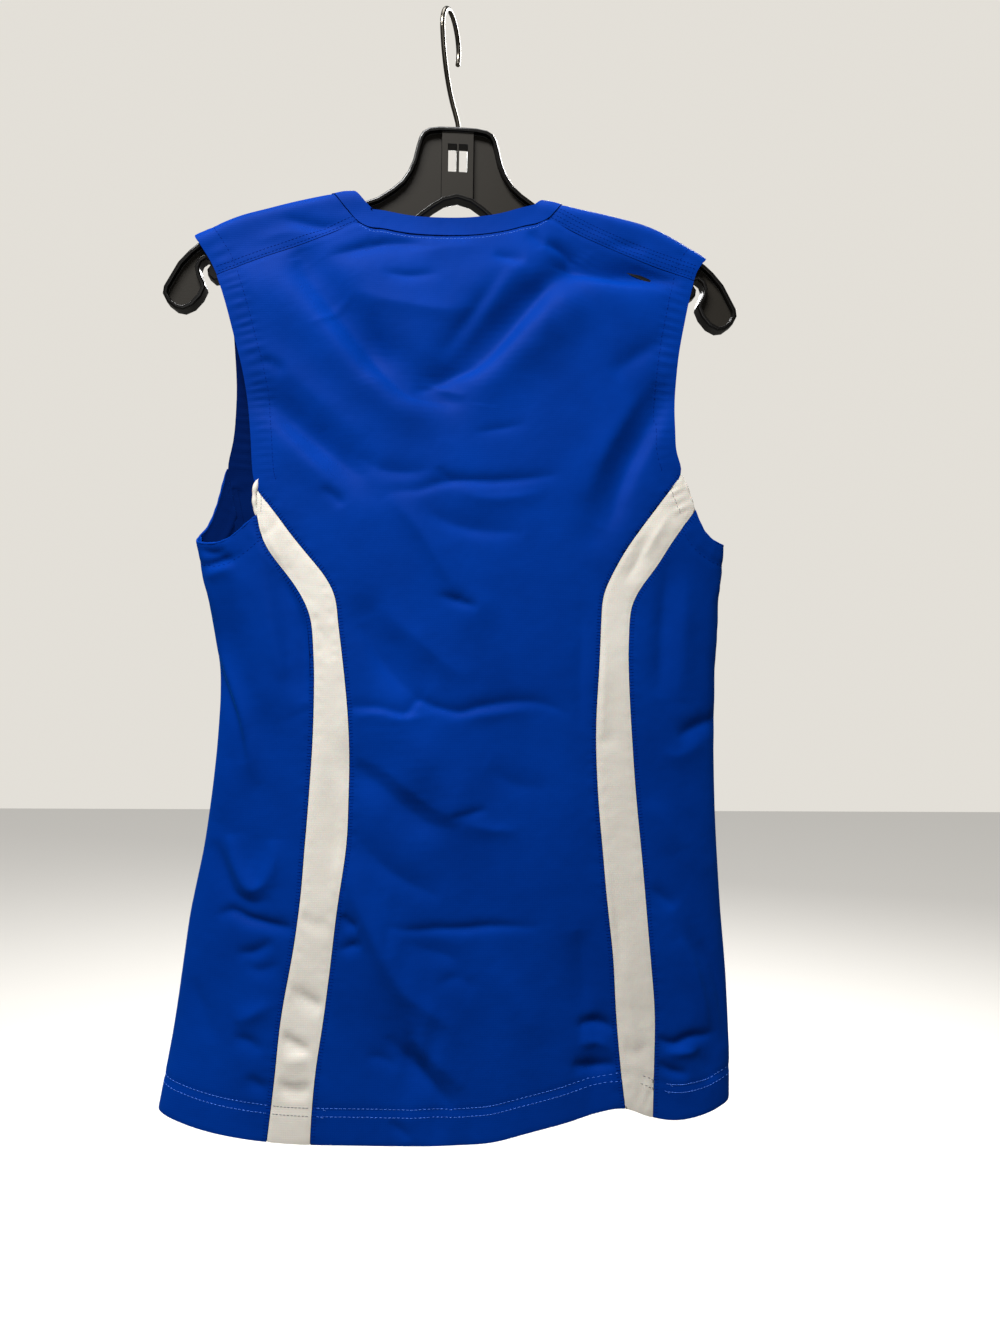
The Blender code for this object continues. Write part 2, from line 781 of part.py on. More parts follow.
neck_round = np.concatenate([
    neck_across_back,
    right_neck_rows[1:],
    left_neck_rows[::-1][1:-1],
])
band_net = np.stack([
    on_way(*beside_neck(neck_round, BAND_WIDTH * share + half_gap * (1 - share)).T)
    for share in (1, 0.5, 0)
])
cloth("neckband", [(band_net, np.ones(band_net.shape[:2]))], BLUE_KNIT, round_about=True)


# ---- hanger body ----

def mirrored(points):
    """The whole outline of a shape whose half starts and ends on the middle plane."""
    return np.concatenate([points, points[-2:0:-1] * (-1, 1)])


def inset(points, by):
    """A closed clockwise outline moved inwards."""
    along = np.roll(points, -1, axis=0) - np.roll(points, 1, axis=0)
    along /= np.linalg.norm(along, axis=1, keepdims=True)
    return points + by * np.stack([along[:, 1], -along[:, 0]], axis=-1)


def outline_piece(name, points, half_thickness, edge, folder, material=None):
    """A flat outline given its thickness, as a mesh whose caps are welded."""
    curve = bpy.data.curves.new(name, "CURVE")
    curve.dimensions = "2D"
    curve.fill_mode = "BOTH"
    curve.extrude = (half_thickness - edge) * MM
    curve.bevel_depth = edge * MM
    curve.bevel_resolution = 1 if edge else 0
    curve.offset = -edge * MM
    spline = curve.splines.new("POLY")
    spline.points.add(len(points) - 1)
    for knot, (x, z) in zip(spline.points, points):
        knot.co = (x * MM, z * MM, 0, 1)
    spline.use_cyclic_u = True
    guide = bpy.data.objects.new(name + "_curve", curve)
    guide.rotation_euler = (math.pi / 2, 0, 0)
    bpy.context.scene.collection.objects.link(guide)
    bpy.context.view_layer.update()
    mesh = bpy.data.meshes.new_from_object(guide.evaluated_get(bpy.context.evaluated_depsgraph_get()))
    mesh.transform(guide.matrix_world)
    bpy.data.objects.remove(guide, do_unlink=True)
    bpy.data.curves.remove(curve)
    shape = bmesh.new()
    shape.from_mesh(mesh)
    bmesh.ops.remove_doubles(shape, verts=shape.verts, dist=1e-6)
    bmesh.ops.recalc_face_normals(shape, faces=shape.faces)
    shape.to_mesh(mesh)
    shape.free()
    mesh.name = name
    return place(name, mesh, material or BLACK_PLASTIC, folder)


def box_piece(name, low, high, folder):
    mesh = bpy.data.meshes.new(name)
    shape = bmesh.new()
    bmesh.ops.create_cube(shape, size=1)
    low, high = np.array(low) * MM, np.array(high) * MM
    for corner in shape.verts:
        corner.co = low + (np.array(corner.co) + 0.5) * (high - low)
    shape.to_mesh(mesh)
    shape.free()
    return place(name, mesh, BLACK_PLASTIC, folder)


def combine(target, tool, operation):
    """One Boolean on the target; its tool is kept out of the part."""
    tool.hide_render = True
    tool.display_type = "WIRE"
    step = target.modifiers.new(tool.name, "BOOLEAN")
    step.operation = operation
    step.object = tool


half_outline = np.stack([HANGER["x"], HANGER["z"]], axis=-1)
hanger = outline_piece("hanger_body", mirrored(half_outline), HANGER_HALF, HANGER_EDGE, garment)
recess_outline = inset(mirrored(half_outline[HANGER["rim"] == 1]), RIM)
for face in (-1, 1):
    depth = HANGER_HALF - WEB_HALF + CUTTER_REACH
    cutter = outline_piece(f"recess_{face}", recess_outline, depth / 2, 0, cutters)
    cutter.location.y = face * (WEB_HALF + depth / 2) * MM
    combine(hanger, cutter, "DIFFERENCE")

boss_outline = mirrored(np.stack([BOSS["x"], BOSS["z"]], axis=-1))
boss = outline_piece("boss", boss_outline, BOSS_HALF, 0, cutters)
combine(hanger, boss, "UNION")
for sign in (-1, 1):
    sides = sorted((sign * WINDOW["near"], sign * WINDOW["far"]))
    reach = BOSS_HALF + CUTTER_REACH
    window = box_piece(
        f"window_{sign}", (sides[0], -reach, WINDOW["foot"]), (sides[1], reach, WINDOW["top"]), cutters
    )
    combine(hanger, window, "DIFFERENCE")

bore_mesh = bpy.data.meshes.new("bore")
bore_shape = bmesh.new()
bmesh.ops.create_cone(
    bore_shape,
    cap_ends=True,
    segments=16,
    radius1=BORE["radius"] * MM,
    radius2=BORE["radius"] * MM,
    depth=(BORE["top"] - BORE["foot"]) * MM,
)
bore_shape.to_mesh(bore_mesh)
bore_shape.free()
bore = place("bore", bore_mesh, BLACK_PLASTIC, cutters)
bore.location.z = (BORE["top"] + BORE["foot"]) / 2 * MM
combine(hanger, bore, "DIFFERENCE")


# ---- hanger hook ----

# The bend is a circle that starts on the near side, passes over the rest and comes down behind.
bend_angles = np.radians(np.arange(190, math.degrees(HOOK["end"]) - 1, -12))
reach = HOOK["radius"] * np.cos(bend_angles)
bend_z = HOOK["wire"] - HOOK["radius"] + HOOK["radius"] * np.sin(bend_angles)
bend = np.stack([
    HOOK["middle_x"] + reach * math.sin(HOOK["turn"]),
    reach * math.cos(HOOK["turn"]),
    bend_z,
], axis=-1)
stem = np.stack([HOOK_STEM["x"], HOOK_STEM["y"], HOOK_STEM["z"]], axis=-1)
hook_points = np.concatenate([stem, bend])

hook_curve = bpy.data.curves.new("hanger_hook", "CURVE")
hook_curve.dimensions = "3D"
hook_curve.bevel_depth = HOOK["wire"] * MM
hook_curve.bevel_resolution = 2
hook_curve.use_fill_caps = True
wire = hook_curve.splines.new("POLY")
wire.points.add(len(hook_points) - 1)
for knot, point in zip(wire.points, hook_points):
    knot.co = (*(point * MM), 1)
hook = place("hanger_hook", hook_curve, STEEL)
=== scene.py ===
"""Sleeveless compression shirt on a moulded top hanger, seen from its back.

The frame is in metres. Places on the shirt are given in millimetres, with x
measured from the middle of the hanger, y towards the shirt's front and z
from the place where the hook rests. "left" and "right" are the viewer's.
"""

import math

import bmesh
import bpy
import numpy as np
from mathutils import Matrix, Vector
from mathutils.bvhtree import BVHTree
from mathutils.kdtree import KDTree


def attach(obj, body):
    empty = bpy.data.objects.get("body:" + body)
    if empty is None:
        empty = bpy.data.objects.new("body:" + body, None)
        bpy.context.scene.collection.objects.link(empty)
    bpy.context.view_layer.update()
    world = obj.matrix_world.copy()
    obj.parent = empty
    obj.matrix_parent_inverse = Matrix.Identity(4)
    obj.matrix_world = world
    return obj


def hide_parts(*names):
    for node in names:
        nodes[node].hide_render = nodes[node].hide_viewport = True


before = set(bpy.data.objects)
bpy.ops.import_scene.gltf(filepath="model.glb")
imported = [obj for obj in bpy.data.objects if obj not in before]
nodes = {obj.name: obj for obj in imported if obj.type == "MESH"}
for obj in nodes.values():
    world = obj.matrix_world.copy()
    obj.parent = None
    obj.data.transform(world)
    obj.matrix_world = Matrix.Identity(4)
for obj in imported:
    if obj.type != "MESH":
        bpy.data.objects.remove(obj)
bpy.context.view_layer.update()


# ---- Camera ----
# It stands a little below the middle of the shirt, almost square to it, and
# is rolled by the slight slant at which the shirt was photographed.


def new_object(name, data):
    """An object in the scene."""
    made = bpy.data.objects.new(name, data)
    bpy.context.scene.collection.objects.link(made)
    return made


PHOTO_HEIGHT = 1333
FOCAL_PIXELS = 1000
CAMERA_PLACE = (-0.0115, -0.7583, -0.4920)
CAMERA_YAW = math.radians(4.2)
CAMERA_ROLL = math.radians(0.82)

camera_data = bpy.data.cameras.new("camera")
camera_data.sensor_width = 36
camera_data.lens = camera_data.sensor_width * FOCAL_PIXELS / PHOTO_HEIGHT
camera_data.clip_start = 0.01
camera = new_object("camera", camera_data)
camera.matrix_world = (
    Matrix.Translation(CAMERA_PLACE)
    @ Matrix.Rotation(-CAMERA_YAW, 4, "Z")
    @ Matrix.Rotation(math.pi / 2, 4, "X")
    @ Matrix.Rotation(CAMERA_ROLL, 4, "Z")
)
bpy.context.scene.camera = camera
bpy.context.scene.view_settings.view_transform = "Standard"


# ---- Back panel ----
# One piece of polyester and elastane warp knit, cut between the two white
# inserts and up to the shoulder seams. Its armholes and its foot are turned
# under once and stitched. It pulls into a V of soft creases below the neck.

MM = 0.001
HANGER_X = 6.5          # the hanger's middle in the frame
KNIT = 1.1              # one layer
TURNED = 1.9            # where the knit is turned under
HEM_DEPTH = 27.0
ARMHOLE_HEM = 17.0
SEAM_DIP = 0.32         # how far the cloth sinks at a seam
RIB = 1.3               # pitch of the knit's ribs: about twice the real one, which is too fine to show
SHOULDER_LINE = ((-192, -142, -84, 70, 118, 191), (-175, -153.5, -137.8, -137.8, -147, -175.5))
UNDER_SHOULDER = 10.0   # radius of the cloth's roll over the hanger
CELL = 2.2              # longest step down the cloth of its finished mesh
PUCKER_CELL = 2.0       # the same in the puckered hems
SEAM_CALM = 5.0         # creases die out this near to a seam, so that its two sides still meet
CREST = 1.5             # how pointed a crease is: 2 is quite soft, 1 a sharp ridge
SEAM_SHARE = 0.15       # what is left of a crease on the seam itself
SEAM_PUCKERS = (0.16, 7, 11)    # their height, reach and pitch
SEAM_WIDTH = 2.2        # half the width of the dip at a seam
HEM_GROOVE = (0.35, 2.0, 2.6)   # depth, place inside the hem's edge and half width, where it is stitched
HEM_ROUND = (0.3, 1.5)  # how far a hem's folded edge is rounded off, and over what width
HEM_STEP = 1.5          # the cloth turns from one layer to two over this
SLACK_FROM = 18         # the cloth is taut over the hanger, and slack from this far below it,
SLACK_OVER = 40         # fully so after this
FOLD_DEPTH = 4          # one side's creases die out over this depth at the side fold
NEAR_FOOT = -780        # the CAD's step into the hem at the foot lies below this
STEP_ROW = 4.0          # rows of its points nearer than this are the step's, and are merged
BACK, FRONT = -1, 1


def linear(colour):
    """An sRGB hex colour as linear RGBA."""
    shares = [int(colour[i:i + 2], 16) / 255 for i in (1, 3, 5)]
    return (*[c / 12.92 if c <= 0.04045 else ((c + 0.055) / 1.055) ** 2.4 for c in shares], 1.0)


def add_node(tree, kind, sockets=(), **settings):
    """Adds a shader node. Each socket takes a value, or another node's output as its link."""
    made = tree.nodes.new(kind)
    for name, value in settings.items():
        setattr(made, name, value)
    for name, value in dict(sockets).items():
        if isinstance(value, bpy.types.NodeSocket):
            tree.links.new(value, made.inputs[name])
        else:
            made.inputs[name].default_value = value
    return made


def new_material(name, **finish):
    """A material with a Principled shader whose sockets are set by name."""
    material = bpy.data.materials.new(name)
    material.use_nodes = True
    shader = material.node_tree.nodes["Principled BSDF"]
    for socket, value in finish.items():
        shader.inputs[socket.replace("_", " ")].default_value = value
    return material, shader


def roughen(shader, scale, detail, strength, depth):
    """The fine unevenness of a surface, as bumps of a depth in metres."""
    tree = shader.id_data
    place = add_node(tree, "ShaderNodeTexCoord").outputs["Object"]
    noise = add_node(tree, "ShaderNodeTexNoise", {"Vector": place, "Scale": scale, "Detail": detail})
    height = {"Height": noise.outputs["Fac"], "Strength": strength, "Distance": depth}
    bumps = add_node(tree, "ShaderNodeBump", height).outputs["Normal"]
    tree.links.new(bumps, shader.inputs["Normal"])
    return bumps


def knit(name, dark, light, **finish):
    """Warp knit: fine ribs down the cloth and courses across it, slightly uneven in colour."""
    material, shader = new_material(name, **finish)
    tree = material.node_tree
    cut = add_node(tree, "ShaderNodeUVMap", uv_map="cut").outputs["UV"]
    place = add_node(tree, "ShaderNodeTexCoord").outputs["Object"]
    ribs = 2 * math.pi / (20 * RIB * MM)
    wales = add_node(tree, "ShaderNodeTexWave", {"Vector": cut, "Scale": ribs}, bands_direction="X")
    courses = add_node(tree, "ShaderNodeTexWave", {"Vector": cut, "Scale": 0.8 * ribs}, bands_direction="Y")
    both = {0: wales.outputs["Fac"], 1: courses.outputs["Fac"]}
    loops = add_node(tree, "ShaderNodeMath", both, operation="MULTIPLY").outputs["Value"]
    dye = add_node(tree, "ShaderNodeTexNoise", {"Vector": place, "Scale": 16.0, "Detail": 3.0})
    shades = add_node(tree, "ShaderNodeValToRGB", {"Fac": dye.outputs["Fac"]})
    for stop, position, colour in zip(shades.color_ramp.elements, (0.3, 0.7), (dark, light)):
        stop.position, stop.color = position, linear(colour)
    tree.links.new(shades.outputs["Color"], shader.inputs["Base Color"])
    soft = roughen(shader, 48.0, 2.0, 0.5, 0.0012)
    fine = add_node(
        tree, "ShaderNodeBump", {"Height": loops, "Strength": 0.4, "Distance": 0.0001, "Normal": soft}
    )
    tree.links.new(fine.outputs["Normal"], shader.inputs["Normal"])
    return material


BLUE_KNIT = knit(
    "royal_blue_warp_knit", "#002C80", "#003390", Roughness=0.55, Specular_IOR_Level=0.02,
    Sheen_Weight=0.14, Sheen_Roughness=0.4, Sheen_Tint=linear("#0090FF"),
)
# The knit's inner side is matte like the back of a warp knit, and its blue is painted darker than the
# outside as the shade inside the shirt's hollow.
SHADED_BLUE_INSIDE = knit(
    "royal_blue_warp_knit_inside_painted_shade", "#00164C", "#001C58", Roughness=0.8, Specular_IOR_Level=0.02
)


def pick(piece):
    """Makes a piece the only one selected."""
    bpy.ops.object.select_all(action="DESELECT")
    piece.select_set(True)
    bpy.context.view_layer.objects.active = piece


def smooth(piece, degrees):
    """Shades a piece smooth, but for its sharp edges."""
    pick(piece)
    bpy.ops.object.shade_smooth_by_angle(angle=math.radians(degrees))


def dress(piece, *materials):
    """Gives a piece its materials."""
    piece.data.materials.clear()
    for material in materials:
        piece.data.materials.append(material)


def apply(piece, kind, **settings):
    """Adds a modifier and applies it."""
    step = piece.modifiers.new(kind.lower(), kind)
    for name, value in settings.items():
        setattr(step, name, value)
    pick(piece)
    bpy.ops.object.modifier_apply(modifier=step.name)


def places(mesh):
    """A mesh's points in millimetres from the hanger's middle."""
    flat = np.empty(len(mesh.vertices) * 3, np.float32)
    mesh.vertices.foreach_get("co", flat)
    return flat.reshape(-1, 3).astype(float) / MM - (HANGER_X, 0, 0)


def put(mesh, points):
    """The reverse of places."""
    mesh.vertices.foreach_set("co", ((points + (HANGER_X, 0, 0)) * MM).astype(np.float32).ravel())
    mesh.update()


def in_frame(place):
    """A place in millimetres from the hanger's middle, in the frame."""
    return Vector(place) * MM + Vector((HANGER_X * MM, 0, 0))


def looks_out(centre, normal):
    """True on the side of a cloth wall that faces away from the shirt's hollow."""
    x, y, z = np.array(centre) / MM - (HANGER_X, 0, 0)
    ridge = np.interp(x, *SHOULDER_LINE) - UNDER_SHOULDER
    away = Vector((0.02 * x, y, max(z - ridge, 0)))
    return away.normalized().dot(normal) > 0.5


def outer_side(name, node):
    """The outer side of a cloth node as a new piece, in quads."""
    piece = new_object(name, nodes[node].data.copy())
    pick(piece)
    bpy.ops.object.mode_set(mode="EDIT")
    bpy.ops.mesh.select_mode(type="FACE")
    bpy.ops.mesh.select_all(action="SELECT")
    bpy.ops.mesh.remove_doubles(threshold=1e-5)
    bpy.ops.mesh.select_all(action="DESELECT")
    bpy.ops.object.mode_set(mode="OBJECT")
    for face in piece.data.polygons:
        face.select = not looks_out(face.center, face.normal)
    bpy.ops.object.mode_set(mode="EDIT")
    bpy.ops.mesh.delete(type="FACE")
    bpy.ops.mesh.select_all(action="SELECT")
    turn = math.radians(70)
    bpy.ops.mesh.tris_convert_to_quads(face_threshold=turn, shape_threshold=turn)
    bpy.ops.object.mode_set(mode="OBJECT")
    shape = bmesh.new()
    shape.from_mesh(piece.data)
    merged = {}
    for edge in shape.edges:
        upper, lower = sorted(edge.verts, key=lambda corner: -corner.co.z)
        if lower.co.z < NEAR_FOOT * MM and upper.co.z - lower.co.z > 0.8 * edge.calc_length():
            if edge.calc_length() < STEP_ROW * MM:
                merged[upper] = lower
    bmesh.ops.weld_verts(shape, targetmap=merged)
    shape.to_mesh(piece.data)
    shape.free()
    return piece


def smooth_through(piece, levels):
    """Subdivides a piece, its cage moved out so that the smooth cloth still meets the node's points."""
    step = piece.modifiers.new("smooth", "SUBSURF")
    step.levels = step.render_levels = levels
    step.boundary_smooth = "PRESERVE_CORNERS"
    wanted = places(piece.data)
    cage = wanted.copy()
    for _ in range(5):
        graph = bpy.context.evaluated_depsgraph_get()
        reached = places(piece.evaluated_get(graph).data)[:len(wanted)]
        cage += wanted - reached
        put(piece.data, cage)
    pick(piece)
    bpy.ops.object.modifier_apply(modifier=step.name)


def split_long_edges(piece, longest, lines=(), reach=22):
    """Divides long edges that run down the cloth: all of them, or those near the given lines."""
    near = np.full(len(piece.data.vertices), not lines)
    for line in lines:
        near |= from_edge(places(piece.data), line)[0] < reach
    shape = bmesh.new()
    shape.from_mesh(piece.data)
    down = []
    for edge in shape.edges:
        run = edge.verts[1].co - edge.verts[0].co
        if abs(run.z) > math.hypot(run.x, run.y) and run.length > longest * MM:
            if near[edge.verts[0].index] and near[edge.verts[1].index]:
                down.append(edge)
    bmesh.ops.subdivide_edges(shape, edges=down, cuts=1, use_grid_fill=True)
    shape.to_mesh(piece.data)
    shape.free()


def curve_through(points, steps=8):
    """A smooth line through a few points."""
    points = np.array(points, float)
    padded = np.concatenate([[2 * points[0] - points[1]], points, [2 * points[-1] - points[-2]]])
    line = []
    for a, b, c, d in zip(padded, padded[1:], padded[2:], padded[3:]):
        for t in np.arange(steps) / steps:
            bend = (2 * a - 5 * b + 4 * c - d) * t**2 + (3 * b - a - 3 * c + d) * t**3
            line.append(0.5 * (2 * b + (c - a) * t + bend))
    return np.array([*line, points[-1]])


def beside_line(flat, line):
    """For each (x, z) place: its distance to a line, signed by side, and its share along the line."""
    starts, runs = line[:-1], np.diff(line, axis=0)
    lengths = np.linalg.norm(runs, axis=1)
    reach = np.concatenate([[0], np.cumsum(lengths)])
    best = np.full(len(flat), np.inf)
    share = np.zeros(len(flat))
    side = np.ones(len(flat))
    for start, run, length, before in zip(starts, runs, lengths, reach):
        off = flat - start
        along = np.clip(off @ run / length**2, 0, 1)
        rest = off - along[:, None] * run
        away = np.linalg.norm(rest, axis=1)
        nearer = away < best
        best[nearer] = away[nearer]
        share[nearer] = (before + along[nearer] * length) / reach[-1]
        side[nearer] = np.sign(run[0] * rest[:, 1] - run[1] * rest[:, 0])[nearer]
    return best * side, share


def crease_height(flat, creases):
    """How far creases lift the cloth at (x, z) places. The rows are described at BACK_CREASES."""
    height = np.zeros(len(flat))
    for line, lift, upper, lower, *ends in creases:
        line = curve_through(np.reshape(line, (-1, 2)))
        span = 3 * max(upper, lower)
        close = np.all((flat > line.min(axis=0) - span) & (flat < line.max(axis=0) + span), axis=1)
        away, share = beside_line(flat[close], line)
        width = np.where(away > 0, upper, lower)
        first, last = ends or (0, 0)
        left = first + (last - first) * share
        swell = left + (1 - left) * np.sin(math.pi * share) ** 0.8
        height[close] += lift * swell * np.exp(-np.abs(away / width) ** CREST)
    return height


def slack(flat, side):
    """Very soft unevenness of hanging cloth, longer down the cloth, the same on all pieces of a side.

    The lengths of its waves, in millimetres, are ones that don't fall into step.
    """
    x, z = flat.T
    return (
        0.5 * np.sin(x / 31 + 1.4 * np.sin(z / 88 + side))
        + 0.3 * np.sin(x / 17 + 0.8 * np.sin(z / 41) + 2 * side) * np.sin(z / 67 + side)
        + 0.3 * np.sin(z / 23 + x / 60 + 3 * side) * np.sin(x / 44)
    )


def boundary_loops(mesh):
    """The open edges of a piece as closed rings of point numbers."""
    shape = bmesh.new()
    shape.from_mesh(mesh)
    beside = {}
    for edge in shape.edges:
        if edge.is_boundary:
            a, b = (corner.index for corner in edge.verts)
            beside.setdefault(a, []).append(b)
            beside.setdefault(b, []).append(a)
    shape.free()
    rings = []
    while beside:
        ring = [min(beside)]
        following = beside.pop(ring[0])[0]
        while following in beside:
            ring.append(following)
            ahead = [n for n in beside.pop(following) if n in beside]
            if not ahead:
                break
            following = ahead[0]
        rings.append(ring)
    return rings


def edge_between(piece, start, past, end):
    """Points of the open edge from the place nearest start, by way of past, to that nearest end."""
    points = places(piece.data)

    def nearest(ring, place):
        away = np.linalg.norm(points[ring] - place, axis=1)
        return int(np.argmin(away)), float(np.min(away))

    ring = min(boundary_loops(piece.data), key=lambda ring: nearest(ring, past)[1])
    i, j, k = (nearest(ring, place)[0] for place in (start, end, past))
    size = len(ring)
    forward = (j - i) % size
    if (k - i) % size <= forward:
        order = [ring[(i + n) % size] for n in range(forward + 1)]
    else:
        order = [ring[(i - n) % size] for n in range((i - j) % size + 1)]
    return points[order]


def evenly(line, step):
    """The same line with its points a step apart."""
    lengths = np.concatenate([[0], np.cumsum(np.linalg.norm(np.diff(line, axis=0), axis=1))])
    at = np.linspace(0, lengths[-1], max(int(round(lengths[-1] / step)), 1) + 1)
    return np.stack([np.interp(at, lengths, line[:, axis]) for axis in range(3)], axis=-1)


def from_edge(points, line):
    """Distance of each point to an edge line, and how many millimetres along the line it lies."""
    line = evenly(line, 1.0)
    tree = KDTree(len(line))
    for number, place in enumerate(line):
        tree.insert(place, number)
    tree.balance()
    found = [tree.find(point) for point in points]
    return np.array([gap for _, _, gap in found]), np.array([float(number) for _, number, _ in found])


def puckers(away, along, depth, reach, pitch, phase):
    """Short uneven waves that a row of stitches draws across a hem or along a seam."""
    wave = np.sin(2 * math.pi * along / pitch + 2.2 * np.sin(along / 19 + phase) + 1.1 * np.sin(along / 7.3))
    strength = 0.6 + 0.4 * np.sin(along / 37 + phase)
    strength *= 0.5 + 0.5 * np.sin(along / 5.1 + 3 * np.sin(along / 31 + phase)) ** 2
    return depth * strength * wave * np.exp(-(((away - 0.6 * reach) / (0.4 * reach)) ** 2))


def shape_cloth(piece, creases, phase, hems=(), seams=()):
    """Presses creases, slack, hems and seams into a smooth shell.

    creases are pairs of a side and its rows. hems are (edge line, depth of the turned hem,
    height and pitch of its puckers), and seams are edge lines. The phase sets where the
    puckers' waves start. Returns how far each point is in a turned hem, from 0 to 1.
    """
    mesh = piece.data
    points = places(mesh)
    normals = np.empty(len(points) * 3, np.float32)
    mesh.vertices.foreach_get("normal", normals)
    normals = normals.reshape(-1, 3).astype(float)
    flat = points[:, [0, 2]]
    drop = np.interp(points[:, 0], *SHOULDER_LINE) - points[:, 2]
    below = np.clip((drop - SLACK_FROM) / SLACK_OVER, 0, 1)
    seam_paths = [from_edge(points, line) for line in seams]
    calm = np.ones(len(points))
    for away, _ in seam_paths:
        calm = np.minimum(calm, np.clip(away / SEAM_CALM, SEAM_SHARE, 1))
    lift = np.zeros(len(points))
    for side, rows in creases:
        on_side = np.clip(points[:, 1] * side / FOLD_DEPTH, 0, 1)
        lift += crease_height(flat, rows) * on_side * calm + slack(flat, side) * on_side * below
    turned = np.zeros(len(points))
    for line, depth, height, pitch in hems:
        away, along = from_edge(points, line)
        turned = np.maximum(turned, np.clip((depth - away) / HEM_STEP, 0, 1))
        lift += puckers(away, along, height, depth, pitch, phase)
        groove = HEM_GROOVE[0] * np.exp(-(((away - depth + HEM_GROOVE[1]) / HEM_GROOVE[2]) ** 2))
        lift -= groove + HEM_ROUND[0] * np.exp(-((away / HEM_ROUND[1]) ** 2))
    for away, along in seam_paths:
        dip = SEAM_DIP * np.exp(-((away / SEAM_WIDTH) ** 2))
        lift += puckers(away, along, *SEAM_PUCKERS, phase) - dip
    put(mesh, points + normals * lift[:, None])
    return turned


def lay_out(piece, round_the_side=False):
    """Gives the piece its flat pattern, in metres across and down the cloth."""
    points = places(piece.data)
    x, y, z = points.T
    rows = np.round(z / 12)
    tips = {row: np.abs(x[rows == row]).max() for row in np.unique(rows)}
    tip = np.array([tips[row] for row in rows])
    across = np.where((y > 0) & round_the_side, np.sign(x) * (2 * tip - np.abs(x)), x)
    corner = np.empty(len(piece.data.loops), int)
    piece.data.loops.foreach_get("vertex_index", corner)
    pattern = np.stack([across, z], axis=-1)[corner] * MM
    piece.data.uv_layers.new(name="cut").data.foreach_set("uv", pattern.astype(np.float32).ravel())


surfaces = {}


def give_wall(piece, turned, outside, inside):
    """Keeps the outer side for the sewing, then gives the cloth its thickness on the inside."""
    shape = bmesh.new()
    shape.from_mesh(piece.data)
    surfaces[piece.name] = BVHTree.FromBMesh(shape)
    shape.free()
    group = piece.vertex_groups.new(name="turned")
    for number, share in enumerate(turned):
        group.add([number], float(share), "REPLACE")
    dress(piece, outside, inside)
    apply(
        piece, "SOLIDIFY", thickness=TURNED * MM, offset=-1, vertex_group="turned",
        thickness_vertex_group=KNIT / TURNED, material_offset=1,
    )
    piece.vertex_groups.clear()
    smooth(piece, 60)


def hand_over(piece, node):
    """The piece takes the place of its CAD node."""
    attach(piece, "root")
    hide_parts(node)


# The outer knit, and the inner side whose darker blue is painted shade.
BLUE = (BLUE_KNIT, SHADED_BLUE_INSIDE)


def make_cloth(name, node, lines, creases, phase, hems, seams, levels=2, splits=2, finer=(),
               round_the_side=False, looks=BLUE):
    """A cloth piece in place of its node, and its open edges by name.

    lines are the edges, each by its start, a place it passes and its end. hems and seams
    name them, and finer those where the puckers need a finer mesh.
    """
    piece = outer_side(name, node)
    smooth_through(piece, levels)
    for _ in range(splits):
        split_long_edges(piece, CELL)
    edges = {edge: edge_between(piece, *line) for edge, line in lines.items()}
    if finer:
        split_long_edges(piece, PUCKER_CELL, [edges[edge] for edge in finer])
    hems = [(edges[edge], *hem) for edge, *hem in hems]
    turned = shape_cloth(piece, creases, phase, hems, [edges[seam] for seam in seams])
    lay_out(piece, round_the_side)
    give_wall(piece, turned, *looks)
    hand_over(piece, node)
    return piece, edges


